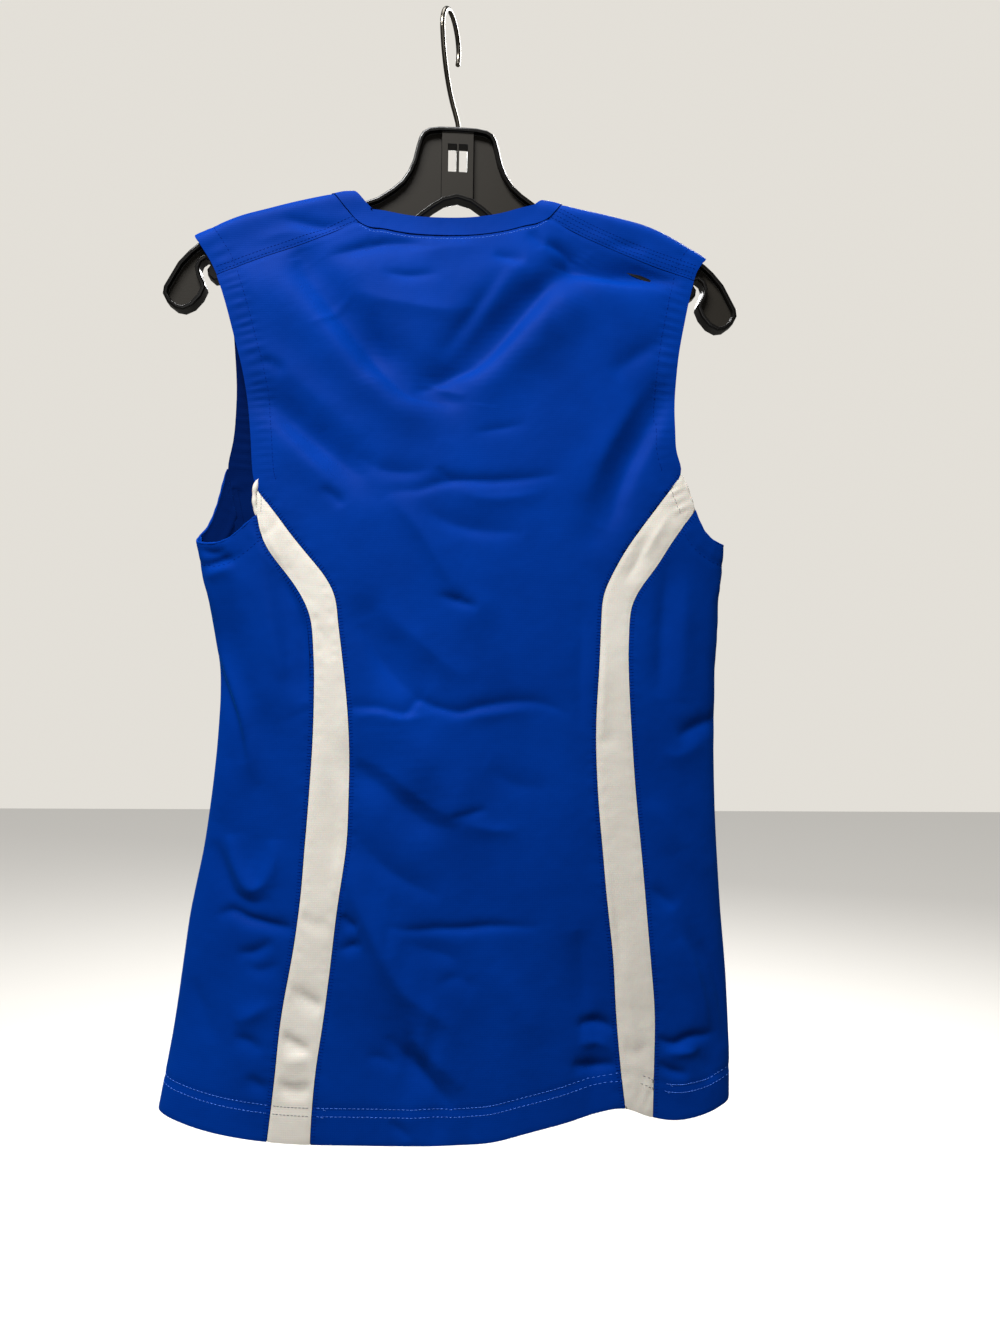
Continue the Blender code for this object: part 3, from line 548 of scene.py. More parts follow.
# Each row is a line on the cloth from left to right or downwards, as x and z in turn, how far
# it stands out (hollows are below nought), its width above and below (or right and left), and
# how much of its height is left at its two ends, if any.
BACK_CREASES = [
    # left arm of the V below the neck
    ([-113, -202, -92, -229, -73, -251, -53, -275, -34, -292, -13, -296, 7, -298], -4.8, 17, 7, 0.35, 0.1),
    ([-126, -209, -104, -235, -83, -261, -62, -287, -41, -310], 1.5, 9, 12, 0.2, 0),
    ([-81, -216, -58, -222, -35, -226, -9, -229, 18, -225], 1.8, 8, 9),
    ([-55, -202, -35, -204, -14, -201], -1.8, 4, 5),
    # tip of the V
    ([-29, -291, -13, -284, 2, -275, 17, -268], -2.2, 6, 4, 0.2, 0.1),
    ([-25, -283, -9, -288, 8, -294], 1.5, 4, 4),
    # right arm of the V
    ([-7, -280, 13, -270, 31, -252, 47, -232, 66, -209, 84, -192], -5.6, 12, 8, 0.1, 0.6),
    ([8, -287, 31, -265, 52, -242, 76, -220, 97, -210], 1.3, 9, 15, 0, 0.1),
    ([-13, -264, -2, -251, 10, -234, 24, -213, 36, -193], -2.1, 7, 6, 0, 0.1),
    ([-5, -266, 13, -244, 28, -219, 41, -200, 54, -186], 0.9, 5, 6),
    # below the neckband
    ([28, -185, 40, -187, 51, -189], -2.1, 5, 4, 0.1, 0.1),
    ([53, -166, 61, -171, 65, -178], -1.6, 5, 5, 0.2, 0),
    ([-94, -191, -72, -184, -51, -179, -29, -179], -2.8, 4, 7, 0.1, 0.3),
    ([-40, -187, -20, -184, 1, -180, 22, -179], 1.1, 6, 8),
    # below the right shoulder seam
    ([66, -174, 78, -178, 88, -188], -3.2, 5, 4, 0.2, 0.4),
    ([86, -193, 113, -195, 140, -196, 167, -198], -5.4, 8, 6, 0.7, 0.1),
    ([92, -203, 119, -205, 146, -206, 168, -209], 1.7, 6, 12, 0.2, 0.1),
    # from the left armhole
    ([-138, -298, -118, -315, -95, -334, -74, -350, -61, -355], -3.8, 12, 8, 0.3, 0),
    ([-136, -314, -115, -335, -97, -353, -79, -368], 2.1, 7, 11, 0.2, 0),
    ([-144, -269, -133, -273, -124, -280], -1.8, 4, 5, 0.2, 0),
    ([-156, -254, -135, -267, -108, -290, -85, -311, -64, -326], 1.3, 9, 11),
    ([-108, -245, -91, -235, -76, -218], 0.6, 2.6, 2.6),
    ([-95, -363, -87, -370, -80, -377], -2.0, 4, 4, 0.1, 0),
    ([-71, -339, -53, -349, -33, -351, -15, -348], -1.8, 7, 6, 0.1, 0),
    # from the right armhole
    ([116, -389, 122, -367, 131, -343, 144, -316, 157, -288], -4.2, 13, 8, 0, 0.4),
    ([98, -368, 108, -341, 122, -314, 138, -289, 154, -267], 2.2, 10, 8, 0, 0.1),
    ([116, -272, 135, -258, 157, -243], -2.4, 8, 8, 0, 0.3),
    ([129, -372, 138, -345, 149, -324, 159, -304], 1.7, 6, 6, 0, 0.1),
    # across the back, where it was folded in store
    ([-48, -365, -27, -364, -12, -359, 3, -356, 29, -356, 56, -353, 79, -349], -2.4, 5, 3.5, 0.1, 0),
    ([-12, -346, -6, -353, -1, -359], -1.4, 3.5, 3.5, 0.1, 0.1),
    ([0, -363, 24, -369, 48, -367, 69, -361], 1.5, 5, 7),
    ([-25, -369, -12, -383, 9, -391, 30, -393, 53, -393], -2.5, 10, 6, 0.2, 0),
    ([-48, -369, -30, -386, -17, -404, -5, -425, 6, -441], 2.2, 6, 8),
    ([13, -321, 32, -317, 53, -312], -1.0, 4, 4),
    # at the waist
    ([-9, -441, 5, -445, 19, -449], -2.1, 3.5, 4, 0.2, 0),
    ([-66, -462, -52, -487, -37, -505, -21, -518], -3.2, 11, 7, 0.1, 0),
    ([-54, -449, -30, -469, -6, -489, 15, -504], 1.5, 8, 8),
    ([-71, -523, -53, -523, -33, -527, -24, -518, -12, -522, 6, -526, 21, -522, 45, -518, 67, -519, 89,
      -527], -2.1, 5, 3.5, 0.5, 0),
    ([-69, -530, -53, -528, -34, -531, -12, -528], 1.1, 3.5, 5, 0.2, 0),
    ([6, -531, 30, -527, 57, -524], 1.0, 3.5, 5),
    ([-70, -557, -49, -567, -29, -582, -5, -598, 17, -598], 2.8, 15, 9, 0.4, 0),
    ([-68, -567, -52, -578, -31, -596, -10, -609, 10, -609], -2.2, 8, 9, 0.3, 0),
    ([1, -603, 14, -600, 28, -596], -1.5, 3.5, 4, 0.1, 0),
    ([10, -607, 31, -611, 52, -612], 1.3, 5, 6),
    ([27, -566, 48, -578, 73, -581], -1.1, 8, 8),
    ([-66, -619, -48, -637, -27, -651, -4, -660], -2.1, 9, 7, 0.2, 0),
    ([-18, -469, -12, -498, 6, -531], -1.3, 9, 8),
    # towards the foot
    ([-74, -650, -60, -676, -47, -701, -32, -726, -12, -743, 9, -758], 2.9, 8, 8, 0.2, 0),
    ([-77, -673, -71, -679, -64, -681], -2.5, 4, 4, 0.3, 0),
    ([-76, -698, -68, -695, -61, -695], -2.1, 4, 4, 0.3, 0),
    ([-46, -680, -27, -684, -8, -683, 11, -683, 32, -681, 68, -682], -2.1, 4, 3.5),
    ([-33, -691, -15, -698, 3, -704, 12, -719], -2.0, 10, 8),
    ([-44, -760, -26, -778, -7, -797, 6, -810], -3.2, 7, 6, 0.1, 0.2),
    ([-26, -758, -8, -777, 13, -797], 1.7, 6, 7, 0, 0.1),
    ([-58, -773, -45, -776, -34, -782], -1.4, 5, 5),
    ([-9, -723, 9, -719, 21, -728], -1.3, 6, 7),
    # beside the right insert
    ([97, -685, 99, -709, 101, -729, 101, -747], -2.8, 8, 12, 0.2, 0.3),
    ([96, -755, 109, -753, 122, -757], -3.4, 5, 4.5, 0.1, 0.5),
    ([97, -768, 108, -767, 120, -771], 2.1, 4.5, 4.5, 0, 0.2),
    ([92, -783, 107, -785, 124, -784], -3.9, 5, 4.5, 0.1, 0.5),
    ([32, -710, 50, -734, 69, -767], 1.1, 12, 12),
    ([95, -443, 96, -476, 95, -509, 96, -539], -1.3, 6, 9),
    ([-40, -820, -31, -827, -25, -833], -1.3, 4, 4, 0.1, 0.1),
]

LEFT_TIP, RIGHT_TIP = (-176, -9.5, -207), (181, -9.5, -196)     # the shoulder seams' outer ends
LEFT_NECK, RIGHT_NECK = (-73, -10, -163.5), (68.5, -10, -154)   # and inner ends
# The long seams, down from the armholes: of the back with the inserts, of those with the side
# panels, and of those with the front.
BACK_SEAMS = {
    "left": ((-143, -17, -366), (-56, -36, -600), (-96, -34, -836)),
    "right": ((171.5, -12, -345), (92, -36, -600), (136, -30, -817)),
}
SIDE_SEAMS = {
    "left": ((-143.5, -17, -383.7), (-92, -36, -600), (-128, -30, -835)),
    "right": ((184, -10, -371), (128, -36, -600), (154, -26, -824)),
}
FRONT_SEAMS = {
    "left": ((-170, 8, -346), (-168, 12, -600), (-168, 15, -827)),
    "right": ((172, 8, -346), (172, 12, -600), (180, 15, -827)),
}
ARMHOLES = ("left_armhole", "right_armhole")
SEAMS = ("left_seam", "right_seam", "left_shoulder", "right_shoulder", "neck")
FOOT_HEM = ("foot", HEM_DEPTH, 0.15, 11.0)


def between_seams(sides, left_arm, right_arm, foot):
    """The edges of the back or the front, but for its neck."""
    left, right = sides["left"], sides["right"]
    return {
        "left_armhole": (LEFT_TIP, left_arm, left[0]),
        "right_armhole": (RIGHT_TIP, right_arm, right[0]),
        "foot": (left[-1], foot, right[-1]),
        "left_seam": left,
        "right_seam": right,
        "left_shoulder": (LEFT_TIP, (-111, -10, -181), LEFT_NECK),
        "right_shoulder": (RIGHT_NECK, (113, -10, -174), RIGHT_TIP),
    }


back, back_edges = make_cloth(
    "shirt_back", "back_panel",
    {
        **between_seams(BACK_SEAMS, (-152, -14, -300), (167, -14, -290), (4, -38, -837.5)),
        "neck": (LEFT_NECK, (0, -12, -186), RIGHT_NECK),
    },
    [(BACK, BACK_CREASES)], 0.4,
    hems=[("left_armhole", ARMHOLE_HEM, 0.3, 6.5), ("right_armhole", ARMHOLE_HEM, 0.5, 6.4), FOOT_HEM],
    seams=SEAMS, finer=ARMHOLES,
)


# ---- Front panel ----
# The same knit in one piece, with a lower neckline. It rolls over the hanger
# to the shoulder seams on the back, so its top edge faces backwards.

FRONT_CREASES = [
    # the pull below the neck, lower than on the back
    ([-118, -232, -84, -272, -44, -312, -10, -330], -2.8, 15, 8, 0.2, 0),
    ([-126, -250, -92, -290, -56, -326], 1.4, 9, 12, 0.1, 0),
    ([-16, -322, 10, -312, 44, -282, 72, -250, 94, -216], -2.6, 10, 9, 0.1, 0.4),
    ([4, -330, 38, -306, 74, -272, 104, -240], 1.3, 8, 13, 0, 0.1),
    ([-66, -232, -48, -262, -36, -290], 1.0, 8, 9, 0.1, 0),
    ([60, -226, 50, -252, 36, -276], 0.9, 8, 8, 0.1, 0),
    # from the armholes
    ([-158, -300, -128, -326, -98, -352, -76, -366], -2.4, 11, 8, 0.2, 0),
    ([-156, -330, -130, -350, -104, -378], 1.3, 8, 10, 0.1, 0),
    ([106, -392, 122, -358, 140, -322, 156, -296], -2.6, 11, 8, 0, 0.3),
    ([100, -366, 116, -334, 136, -300], 1.3, 9, 8, 0, 0.1),
    # across the front, where it was folded in store
    ([-60, -362, -28, -366, 8, -362, 44, -366, 76, -360], -1.4, 5, 3.5, 0.1, 0),
    ([-92, -526, -52, -530, -10, -525, 34, -530, 84, -524], -1.4, 5, 3.5, 0.2, 0),
    ([-40, -688, 8, -692, 56, -686, 88, -690], -1.3, 4, 3.5, 0, 0.1),
    ([-24, -352, -14, -362, -4, -372], -0.9, 4, 4, 0.1, 0.1),
    # the waist
    ([-24, -386, -2, -420, 22, -462], 1.4, 7, 9),
    ([-96, -440, -76, -474, -62, -512], -1.9, 10, 8, 0.1, 0),
    ([52, -540, 64, -498, 84, -452], -1.7, 10, 8, 0, 0.1),
    ([-60, -552, -34, -580, 0, -606, 30, -616], 1.8, 12, 9, 0.2, 0),
    ([-64, -574, -40, -600, -6, -624], -1.4, 8, 8, 0.1, 0),
    ([-132, -540, -124, -590, -130, -650], 1.2, 10, 10),
    ([136, -550, 126, -606, 132, -668], -1.3, 10, 9),
    # towards the foot
    ([54, -640, 66, -690, 60, -750, 72, -812], 2.0, 8, 8, 0.1, 0.2),
    ([28, -700, 34, -752, 26, -812], -1.8, 8, 8, 0, 0.2),
    ([-82, -690, -68, -740, -78, -806], 1.7, 8, 8, 0, 0.2),
    ([-104, -640, -92, -700, -98, -770], -1.7, 10, 9, 0, 0.1),
    ([-28, -740, -18, -780, -24, -818], -1.2, 7, 7, 0, 0.2),
    ([112, -744, 122, -768, 116, -794], -1.8, 6, 6, 0.2, 0.1),
]
STRIP_CREASES = [
    # left shoulder
    ([-129, -163, -108, -167, -93, -169, -77, -169], -2.3, 4, 5, 0.2, 0.4),
    ([-149, -183, -129, -175, -108, -173], 1.0, 6, 6),
    # right shoulder
    ([113, -172, 130, -172, 143, -174], -1.8, 4, 5, 0.1, 0),
    ([94, -169, 113, -171, 135, -177], 1.1, 5, 5),
]

front, front_edges = make_cloth(
    "shirt_front", "front_panel",
    {
        **between_seams(FRONT_SEAMS, (-165, 12, -290), (161, 12, -290), (0, 26, -834)),
        "neck": (LEFT_NECK, (0, 12, -232), RIGHT_NECK),
    },
    [(FRONT, FRONT_CREASES), (BACK, STRIP_CREASES)], 1.9,
    hems=[("left_armhole", ARMHOLE_HEM, 0.25, 7.5), ("right_armhole", ARMHOLE_HEM, 0.4, 8.0), FOOT_HEM],
    seams=SEAMS, splits=1, finer=ARMHOLES,
)


# ---- Side panels ----
# Each is one piece of the blue knit round the side fold, from its insert on
# the back to its seam with the front, with the foot of the armhole at its top.

LEFT_SIDE_CREASES = [
    # pinch below the armhole
    ([-182, -422, -171, -418, -159, -415], -3.4, 3.5, 3.5, 0.3, 0.1),
    ([-185, -409, -176, -412, -165, -410], -2.1, 3.5, 3.5, 0.3, 0),
    ([-182, -430, -170, -425, -158, -423], 1.4, 4, 5, 0.1, 0),
    # beside the insert
    ([-139, -409, -134, -444, -129, -476, -120, -507, -111, -529], 3.4, 11, 10, 0.4, 0),
    ([-124, -429, -115, -447, -108, -470, -105, -497, -104, -520], -3.6, 5, 9, 0.3, 0),
    # crisp fold towards the side
    ([-175, -472, -167, -493, -159, -513, -152, -533, -145, -562, -140, -581], 2.8, 8, 2.6, 0.2, 0),
    ([-178, -477, -170, -498, -162, -518, -155, -537, -148, -565], -2.5, 3, 7, 0.2, 0),
    # tongue
    ([-160, -618, -155, -639, -145, -656, -136, -655], 3.1, 8, 4, 0, 0.2),
    ([-145, -656, -134, -653, -127, -638, -126, -620], 2.2, 7, 5, 0.2, 0),
    ([-172, -622, -164, -639, -155, -659, -141, -666, -127, -661], -2.8, 4, 9),
    ([-167, -677, -156, -672, -144, -677, -126, -681, -112, -683], -3.6, 4, 5, 0.1, 0.4),
    ([-152, -702, -139, -701, -126, -692], -2.7, 4.5, 5, 0, 0.1),
    ([-147, -708, -135, -714, -120, -708], -1.7, 6, 6),
    ([-153, -752, -140, -746, -127, -737], 2.2, 7, 6, 0, 0.2),
    ([-154, -762, -142, -765, -132, -772], -2.0, 4.5, 6, 0, 0.1),
    ([-142, -789, -134, -796, -127, -797], -2.0, 4, 5, 0, 0.3),
    ([-186, -722, -176, -745, -169, -768], -1.3, 8, 8),
    ([-162, -563, -164, -586, -168, -610], 1.1, 8, 8),
]
RIGHT_SIDE_CREASES = [
    # beside the insert
    ([161, -421, 159, -453, 158, -484, 156, -513], -2.8, 10, 7, 0.3, 0),
    ([177, -413, 176, -450, 175, -487, 171, -517], 1.7, 9, 9, 0.1, 0),
    # pinch at the side
    ([171, -544, 188, -535, 204, -530], -2.8, 6, 6, 0, 0.5),
    ([156, -554, 173, -557, 194, -546], 1.3, 6, 8, 0, 0.1),
    ([148, -590, 163, -609, 170, -630], 1.4, 9, 9),
    ([151, -655, 161, -663, 171, -671], -1.8, 6, 6, 0.1, 0),
    # curved fold
    ([174, -694, 185, -713, 193, -739, 199, -767], 3.4, 4.5, 8, 0.1, 0),
    ([191, -697, 203, -722, 212, -752, 214, -781], -2.5, 6, 5),
    ([157, -767, 170, -772, 184, -768, 200, -769], -3.2, 4, 4, 0.3, 0.1),
    ([164, -778, 177, -779, 191, -779], 2.0, 4, 4),
    ([158, -785, 169, -792, 182, -796], -2.8, 4, 4, 0.2, 0),
    ([187, -777, 196, -790, 203, -804], -1.8, 4, 4.5),
]
# The half of a side panel that lies on the front has no near view in the photograph.
SIDE_FRONT_CREASES = [
    ([-196, -430, -188, -470, -184, -520], 1.2, 7, 8, 0.1, 0),
    ([-190, -600, -180, -640, -184, -690], -1.5, 8, 7),
    ([-196, -730, -186, -764, -190, -800], 1.2, 7, 8, 0, 0.2),
    ([182, -440, 188, -486, 184, -530], -1.4, 8, 7, 0.1, 0),
    ([186, -620, 192, -660, 188, -712], 1.3, 7, 8),
    ([188, -740, 198, -772, 194, -806], -1.4, 7, 7, 0, 0.2),
]
SIDES = {
    "left": (LEFT_SIDE_CREASES, 3.1, (-200, 0, -403), (-215, 0, -822)),
    "right": (RIGHT_SIDE_CREASES, 4.7, (210, 0, -396), (219, 0, -822)),
}
side_panels, side_edges = {}, {}
for side, (creases, phase, armhole, foot) in SIDES.items():
    inner, outer = SIDE_SEAMS[side], FRONT_SEAMS[side]
    side_panels[side], side_edges[side] = make_cloth(
        f"shirt_side_{side}", f"side_panel_{side}",
        {"armhole": (inner[0], armhole, outer[0]), "foot": (inner[-1], foot, outer[-1]),
         "insert_seam": inner, "front_seam": outer},
        [(BACK, creases), (FRONT, SIDE_FRONT_CREASES)], phase,
        hems=[("armhole", ARMHOLE_HEM, 0.35, 9.0), FOOT_HEM],
        seams=("insert_seam", "front_seam"),
        round_the_side=True,
    )


# ---- White inserts ----
# Two curved strips of the same knit, undyed, let in between the back and the
# sides. They keep dents from storage, and the armholes' and foot's hems cross them.

WHITE_KNIT = knit(
    "white_warp_knit", "#DAD4C9", "#E3DED4", Roughness=0.65, Specular_IOR_Level=0.25,
    Sheen_Weight=0.1, Subsurface_Weight=0.08, Subsurface_Scale=0.002,
)
LEFT_INSERT_CREASES = [
    ([-140, -388, -122, -424, -110, -448], 1.2, 3.5, 4, 0.2, 0),
    ([-136, -396, -118, -428, -106, -452], -1.0, 4, 4, 0.2, 0),
    ([-104, -458, -94, -470, -88, -490], -0.9, 5, 5),
    ([-100, -520, -92, -560, -94, -600], 0.7, 7, 7),
    ([-86, -560, -82, -610, -88, -660], -0.7, 6, 7),
    ([-108, -674, -96, -680, -84, -678], -0.9, 5, 5, 0.1, 0.1),
    ([-112, -728, -100, -734, -86, -742], -2.0, 5, 6, 0.1, 0.2),
    ([-120, -760, -108, -766, -94, -774], -2.4, 3.5, 6, 0.2, 0.2),
    ([-118, -778, -106, -776, -92, -770], 1.5, 4, 5, 0, 0.1),
    ([-122, -794, -108, -799, -94, -796], -2.4, 4, 5, 0.1, 0.2),
]
RIGHT_INSERT_CREASES = [
    ([128, -428, 138, -412, 146, -392], -1.1, 5, 5, 0.1, 0),
    ([142, -410, 150, -396, 162, -376], 1.0, 4, 5, 0.1, 0),
    ([112, -470, 110, -510, 114, -550], 0.7, 6, 7),
    ([98, -540, 110, -546, 124, -542], -0.8, 5, 5, 0.1, 0.1),
    ([118, -640, 126, -680, 128, -720], -0.8, 6, 7),
    ([128, -700, 138, -760, 142, -800], 0.7, 6, 7),
    ([130, -770, 140, -776, 152, -770], -0.9, 5, 6),
]
INSERTS = {
    "left": (LEFT_INSERT_CREASES, 5.2, (-143, -17, -375), (-112, -32, -836)),
    "right": (RIGHT_INSERT_CREASES, 0.9, (178, -11, -358), (144, -28, -819)),
}
inserts, insert_edges = {}, {}
for side, (creases, phase, armhole, foot) in INSERTS.items():
    inner, outer = BACK_SEAMS[side], SIDE_SEAMS[side]
    left, right = (outer, inner) if side == "left" else (inner, outer)
    inserts[side], insert_edges[side] = make_cloth(
        f"shirt_insert_{side}", f"insert_{side}",
        {"armhole": (left[0], armhole, right[0]), "foot": (left[-1], foot, right[-1]),
         "outer_seam": outer, "inner_seam": inner},
        [(BACK, creases)], phase,
        hems=[("armhole", ARMHOLE_HEM, 0.35, 6.0), ("foot", HEM_DEPTH, 0.2, 9.0)],
        seams=("outer_seam", "inner_seam"),
        levels=3, splits=0, looks=(WHITE_KNIT, WHITE_KNIT),
    )


# ---- Neckband ----
# A doubled strip of the blue knit, sewn round the neckline in a ring, its
# folded edge upwards.

BAND_RISE = 0.3         # how far the doubled band stands out over the single knit

band = outer_side("shirt_neckband", "neckband")
smooth_through(band, 3)
shape_cloth(band, [], 0.0)
apply(band, "DISPLACE", strength=BAND_RISE * MM, mid_level=0)
lay_out(band)
give_wall(band, np.ones(len(band.data.vertices)), *BLUE)
hand_over(band, "neckband")


# ---- Stitching ----
# Polyester thread. Two rows hold the foot's hem, one holds each armhole's,
# and rows of cover stitch lie along the neckband, the shoulders and the inserts.

THREAD = 0.42
FOOT_ROWS = (20.5, 26.0)
LADDER = 4.4            # how far a cover stitch reaches across a seam
OVER_WHITE = 0.8        # how much of that lies on the white
ARMHOLE_STITCH = (ARMHOLE_HEM - 1.5, 3.0, 2.4, False)   # inset, pitch, length, and whether across
FOOT_STITCH = (3.2, 2.7, False)

DULL = {"Roughness": 0.8, "Specular_IOR_Level": 0.02}
blue_thread, _ = new_material("blue_polyester_thread", Base_Color=linear("#001F70"), **DULL)
pale_thread, _ = new_material("pale_blue_polyester_thread", Base_Color=linear("#4C7BDC"), **DULL)
grey_thread, _ = new_material("grey_polyester_thread", Base_Color=linear("#66666E"), **DULL)


def mesh_piece(name, points, faces, material):
    """A new piece from points in the frame."""
    mesh = bpy.data.meshes.new(name)
    mesh.from_pydata(points, [], faces)
    mesh.materials.append(material)
    return new_object(name, mesh)


def sew(name, rows, material):
    """Stitches as one piece, each a small bead.

    Rows are (piece, edge line, inset, pitch, length, True where the stitches lie across).
    """
    bpy.ops.mesh.primitive_uv_sphere_add(segments=6, ring_count=4, radius=0.5)
    bead = bpy.context.active_object
    shape = np.array([corner.co for corner in bead.data.vertices])
    faces = [list(face.vertices) for face in bead.data.polygons]
    bpy.data.objects.remove(bead)
    points, polygons = [], []
    for piece, line, inset, pitch, length, across in rows:
        surface = surfaces[piece.name]
        line = [in_frame(place) for place in evenly(line, pitch)]
        for before, here, after in zip(line, line[1:], line[2:]):
            spot, normal, _, _ = surface.find_nearest(here)
            along = (after - before).normalized()
            inward = normal.cross(along).normalized() * inset * MM
            if surface.find_nearest(spot - inward)[3] < surface.find_nearest(spot + inward)[3]:
                inward = -inward
            place, normal, _, _ = surface.find_nearest(spot + inward)
            along = (along - normal * along.dot(normal)).normalized()
            sideways = normal.cross(along)
            if across:
                along, sideways = sideways, along
            axes = np.array([along * length, sideways * THREAD, normal * THREAD]) * MM
            start = len(points) * len(shape)
            points.append(shape @ axes + np.array(place))
            polygons += [[corner + start for corner in face] for face in faces]
    piece = mesh_piece(name, np.concatenate(points).tolist(), polygons, material)
    piece.data.shade_smooth()
    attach(piece, "root")
    return piece


def ladder(piece, line):
    """Cover stitches across a seam, mostly on the blue side and just over the edge of the white."""
    return (piece, line, 0.5 * LADDER - OVER_WHITE, 2.4, LADDER, True)


blue_rows = []
pale_rows = [(back, back_edges["neck"], 2.2, 2.6, 2.3, False)]
for armhole in ARMHOLES:
    blue_rows.append((back, back_edges[armhole], *ARMHOLE_STITCH))
    blue_rows.append((front, front_edges[armhole], *ARMHOLE_STITCH))
for inset in (1.8, 5.4):
    blue_rows.append((front, front_edges["left_shoulder"], inset, 2.8, 2.2, False))
for inset in (1.8, 4.8, 8.2, 11.0):
    blue_rows.append((front, front_edges["right_shoulder"], inset, 2.8, 2.2, False))
for row in FOOT_ROWS:
    pale_rows.append((back, back_edges["foot"], row, *FOOT_STITCH))
    pale_rows.append((front, front_edges["foot"], row, *FOOT_STITCH))
for seam in ("left_seam", "right_seam"):
    blue_rows.append(ladder(back, back_edges[seam]))
for side, panel in side_panels.items():
    blue_rows.append(ladder(panel, side_edges[side]["insert_seam"]))
    blue_rows.append((panel, side_edges[side]["armhole"], *ARMHOLE_STITCH))
    for row in FOOT_ROWS:
        pale_rows.append((panel, side_edges[side]["foot"], row, *FOOT_STITCH))
pale_stitches = sew("shirt_pale_stitches", pale_rows, pale_thread)
blue_stitches = sew("shirt_blue_stitches", blue_rows, blue_thread)

ALLOWANCE = 3.5         # the cloth inside a seam, to either side of it
EDGE_THICKNESS = 0.7
EDGE_GAP = 0.15         # between its middle and the knit's inner face
EDGE_STEP = 5.0


def seam_inside(name, rows):
    """The overlocked edges inside the seams, as flat strips with tapered ends. Rows are (piece, line)."""
    points, quads = [], []
    for piece, line in rows:
        surface = surfaces[piece.name]
        line = [in_frame(place) for place in evenly(line, EDGE_STEP)]
        for number, here in enumerate(line):
            before, after = line[max(number - 1, 0)], line[min(number + 1, len(line) - 1)]
            spot, normal, _, _ = surface.find_nearest(here)
            taper = min(1, (number + 0.4) / 3, (len(line) - number - 0.6) / 3)
            across = normal.cross(after - before).normalized() * ALLOWANCE * taper * MM
            under = spot - normal * (KNIT + EDGE_GAP) * MM
            points += [under + across, under - across]
            if number:
                last = len(points)
                quads.append((last - 4, last - 3, last - 1, last - 2))
    # They take the inner knit, whose dark blue is painted shade of the hollow.
    piece = mesh_piece(name, points, quads, SHADED_BLUE_INSIDE)
    piece.data.uv_layers.new(name="cut")
    apply(piece, "SOLIDIFY", thickness=EDGE_THICKNESS * MM, offset=0)
    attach(piece, "root")
    return piece


inside_rows = [(front, front_edges[seam]) for seam in SEAMS] + [(back, back_edges["neck"])]
for side, insert in inserts.items():
    for seam in ("outer_seam", "inner_seam"):
        inside_rows.append((insert, insert_edges[side][seam]))
seam_edges = seam_inside("shirt_seam_edges", inside_rows)


def rod(name, line, radius, resolution):
    """A round rod along a line of places and relative radii in the frame."""
    curve = bpy.data.curves.new(name, "CURVE")
    curve.dimensions = "3D"
    curve.bevel_depth = radius * MM
    curve.bevel_resolution = resolution
    curve.use_fill_caps = True
    spline = curve.splines.new("POLY")
    spline.points.add(len(line) - 1)
    for point, (place, swell) in zip(spline.points, line):
        point.co, point.radius = (*place, 1), swell
    made = new_object(name, curve)
    pick(made)
    bpy.ops.object.convert(target="MESH")
    return made


ROLL_STEP = 2.0
ROLL_SUNK = 0.8         # share of its radius by which a roll lies below the cloth's face


def rolled_edge(name, piece, line, radius, material, slot, free=False):
    """The turned end of a hem, as a soft roll along its edge, or along a free line.

    Its thickness wavers by up to a fifth, and tapers over a few steps at its ends.
    """
    line = evenly(line, ROLL_STEP)
    course = []
    for number, place in enumerate(line):
        edge = in_frame(place)
        spot, normal, _, _ = surfaces[piece.name].find_nearest(edge)
        swell = 1 + 0.12 * math.sin(number * 1.3) + 0.1 * math.sin(number * 0.37)
        swell *= min(1, (number + 2) / 6, (len(line) - number + 1) / 6)
        course.append((edge if free else spot - normal * ROLL_SUNK * radius * MM, swell))
    roll = rod(name, course, radius, 3)
    dress(roll, material)
    smooth(roll, 60)
    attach(roll, "root")
    return roll


blue_rolls = [
    rolled_edge(f"shirt_side_roll_{side}", panel, side_edges[side]["armhole"], 1.1, BLUE_KNIT, "blue_knit")
    for side, panel in side_panels.items()
]
# On the left the insert's end stands out beyond the back's edge, as a soft white fold.
LEFT_INSERT_END = curve_through(
    [(-140, -17, -353.5), (-143.4, -16.8, -361), (-144.8, -16.8, -370), (-144.2, -17, -379),
     (-141.5, -17, -388)]
)
white = (WHITE_KNIT, "white_knit")
white_rolls = [
    rolled_edge("shirt_insert_roll_left", inserts["left"], LEFT_INSERT_END, 2.1, *white, free=True),
    rolled_edge("shirt_insert_roll_right", inserts["right"], insert_edges["right"]["armhole"], 1.5, *white),
]

ARMHOLE_ROW = {"left": 3.0, "right": 13.0}      # the left end is turned further round

grey_rows = []
for side, insert in inserts.items():
    grey_rows.append((insert, insert_edges[side]["armhole"], ARMHOLE_ROW[side], 2.6, 2.2, False))
    for row in FOOT_ROWS:
        grey_rows.append((insert, insert_edges[side]["foot"], row, 2.8, 2.5, False))
grey_stitches = sew("shirt_grey_stitches", grey_rows, grey_thread)


# ---- Hanger body ----
# Injection-moulded high-impact polystyrene, black and glossy: a thin web
# inside a rim, with a thicker boss at the neck where the hook goes in.

RIM_FACE = 5.5          # flat faces nearer to the middle plane than this are the web's and the boss's


def moulded(name, colour, roughness, shine, grain, depth):
    """Black polystyrene with the faint unevenness of its mould."""
    material, shader = new_material(
        name, Base_Color=linear(colour), Roughness=roughness, Specular_IOR_Level=shine
    )
    roughen(shader, grain, 2.0, 0.3, depth)
    return material


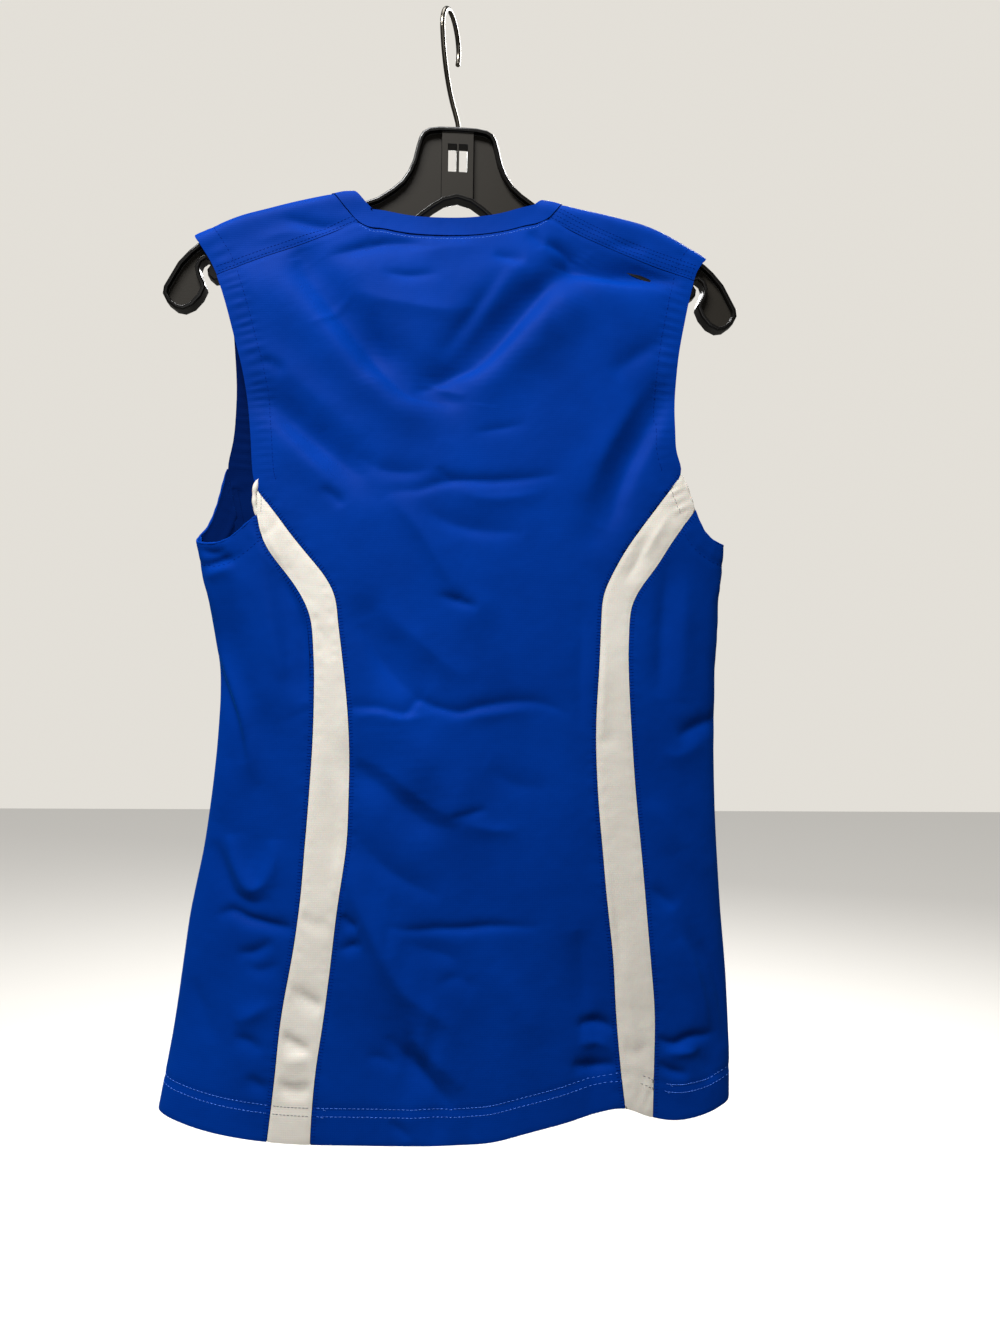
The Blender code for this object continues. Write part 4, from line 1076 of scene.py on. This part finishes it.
hanger = new_object("hanger_moulding", nodes["hanger_body"].data.copy())
pick(hanger)
bpy.ops.object.mode_set(mode="EDIT")
bpy.ops.mesh.select_all(action="SELECT")
bpy.ops.mesh.remove_doubles(threshold=1e-5)
bpy.ops.mesh.dissolve_limited(angle_limit=math.radians(1))
bpy.ops.object.mode_set(mode="OBJECT")
apply(hanger, "BEVEL", width=0.0004, segments=2, limit_method="ANGLE", angle_limit=math.radians(50))
dress(
    hanger,
    moulded("black_moulded_polystyrene", "#0B0A09", 0.18, 0.45, 60.0, 0.0003),
    moulded("black_polystyrene_matt_web", "#26231E", 0.5, 0.12, 700.0, 0.0001),
)
for face in hanger.data.polygons:
    face.material_index = int(abs(face.center.y) < RIM_FACE * MM and abs(face.normal.y) > 0.95)
smooth(hanger, 35)
apply(hanger, "WEIGHTED_NORMAL", keep_sharp=True)
hand_over(hanger, "hanger_body")


# ---- Hook ----
# Bright-drawn steel wire, bent cold, its stem pressed into the hanger's neck.

bright_steel, steel_shader = new_material(
    "bright_drawn_steel", Base_Color=linear("#6B665D"), Metallic=1.0, Roughness=0.22
)
roughen(steel_shader, 900.0, 1.0, 0.15, 0.00005)

WIRE_RADIUS = 1.8
BEND_RADIUS = 20.0
BEND_TURN = math.radians(19)    # the bend's plane is turned from straight ahead
STEM = [(0, 0, -98), (0, 0, -84), (-1.6, -1, -77), (-5, -4, -67), (-8, -8, -56)]
STEM += [(-10.3, -12.5, -45), (-12, -16.5, -33)]

bend = []
for degrees in range(190, -26, -5):
    out = BEND_RADIUS * math.cos(math.radians(degrees))
    up = WIRE_RADIUS - BEND_RADIUS + BEND_RADIUS * math.sin(math.radians(degrees))
    bend.append((-HANGER_X + out * math.sin(BEND_TURN), out * math.cos(BEND_TURN), up))
wire_line = (curve_through([*STEM, *bend], steps=3) + (HANGER_X, 0, 0)) * MM
hook = rod("hook_wire", [(place, 1) for place in wire_line], WIRE_RADIUS, 6)
apply(hook, "BEVEL", width=0.0006, segments=3, limit_method="ANGLE", angle_limit=math.radians(50))
dress(hook, bright_steel)
smooth(hook, 50)
hand_over(hook, "hanger_hook")


# ---- Floor and studio light ----

FLOOR_DEPTH = 1.25      # below the hook's rest; the shirt hangs clear of it

bpy.ops.mesh.primitive_plane_add(size=9, location=(0, 0, -FLOOR_DEPTH))
floor = bpy.context.active_object
floor.name = "floor"
# It looks pale to the camera and throws little light back up, so that the folds keep their shade.
pale_floor, floor_shader = new_material("pale_floor", Roughness=0.9)
floor_tree = pale_floor.node_tree
by_camera = add_node(floor_tree, "ShaderNodeLightPath").outputs["Is Camera Ray"]
floor_shade = add_node(floor_tree, "ShaderNodeMix", {"Factor": by_camera}, data_type="RGBA")
floor_shade.inputs["A"].default_value = linear("#5A5854")
floor_shade.inputs["B"].default_value = linear("#E9E6E0")
floor_tree.links.new(floor_shade.outputs["Result"], floor_shader.inputs["Base Color"])
floor.data.materials.append(pale_floor)

# The backdrop looks pale to the camera and gives the shirt only a weak, even light.
world = bpy.data.worlds.new("studio")
bpy.context.scene.world = world
world.use_nodes = True
world_tree = world.node_tree
seen = add_node(world_tree, "ShaderNodeLightPath").outputs["Is Camera Ray"]
strength = add_node(world_tree, "ShaderNodeMapRange", {"Value": seen, "To Min": 0.1, "To Max": 0.85})
world_tree.nodes["Background"].inputs["Color"].default_value = linear("#F4F0E8")
world_tree.links.new(strength.outputs["Result"], world_tree.nodes["Background"].inputs["Strength"])

MIDDLE = Vector((0, 0, -0.42))
for name, place, size, power in (
    ("ceiling_light", (-0.5, -0.88, 0.98), (1.0, 0.4), 53.0),
    ("fill_light", (0.0, -2.6, 0.1), (1.6, 1.2), 5.0),
    ("front_light", (0.5, 1.3, 0.7), (1.2, 0.6), 44.0),
):
    lamp = bpy.data.lights.new(name, "AREA")
    lamp.shape = "RECTANGLE"
    lamp.size, lamp.size_y = size
    lamp.energy = power
    lamp_object = new_object(name, lamp)
    lamp_object.location = place
    lamp_object.rotation_mode = "QUATERNION"
    lamp_object.rotation_quaternion = (MIDDLE - Vector(place)).to_track_quat("-Z", "Y")

# A soft sun from straight above lights the floor evenly and only grazes the shirt.
sun = bpy.data.lights.new("floor_light", "SUN")
sun.energy = 1.6
sun.angle = math.radians(40)
new_object("floor_light", sun)
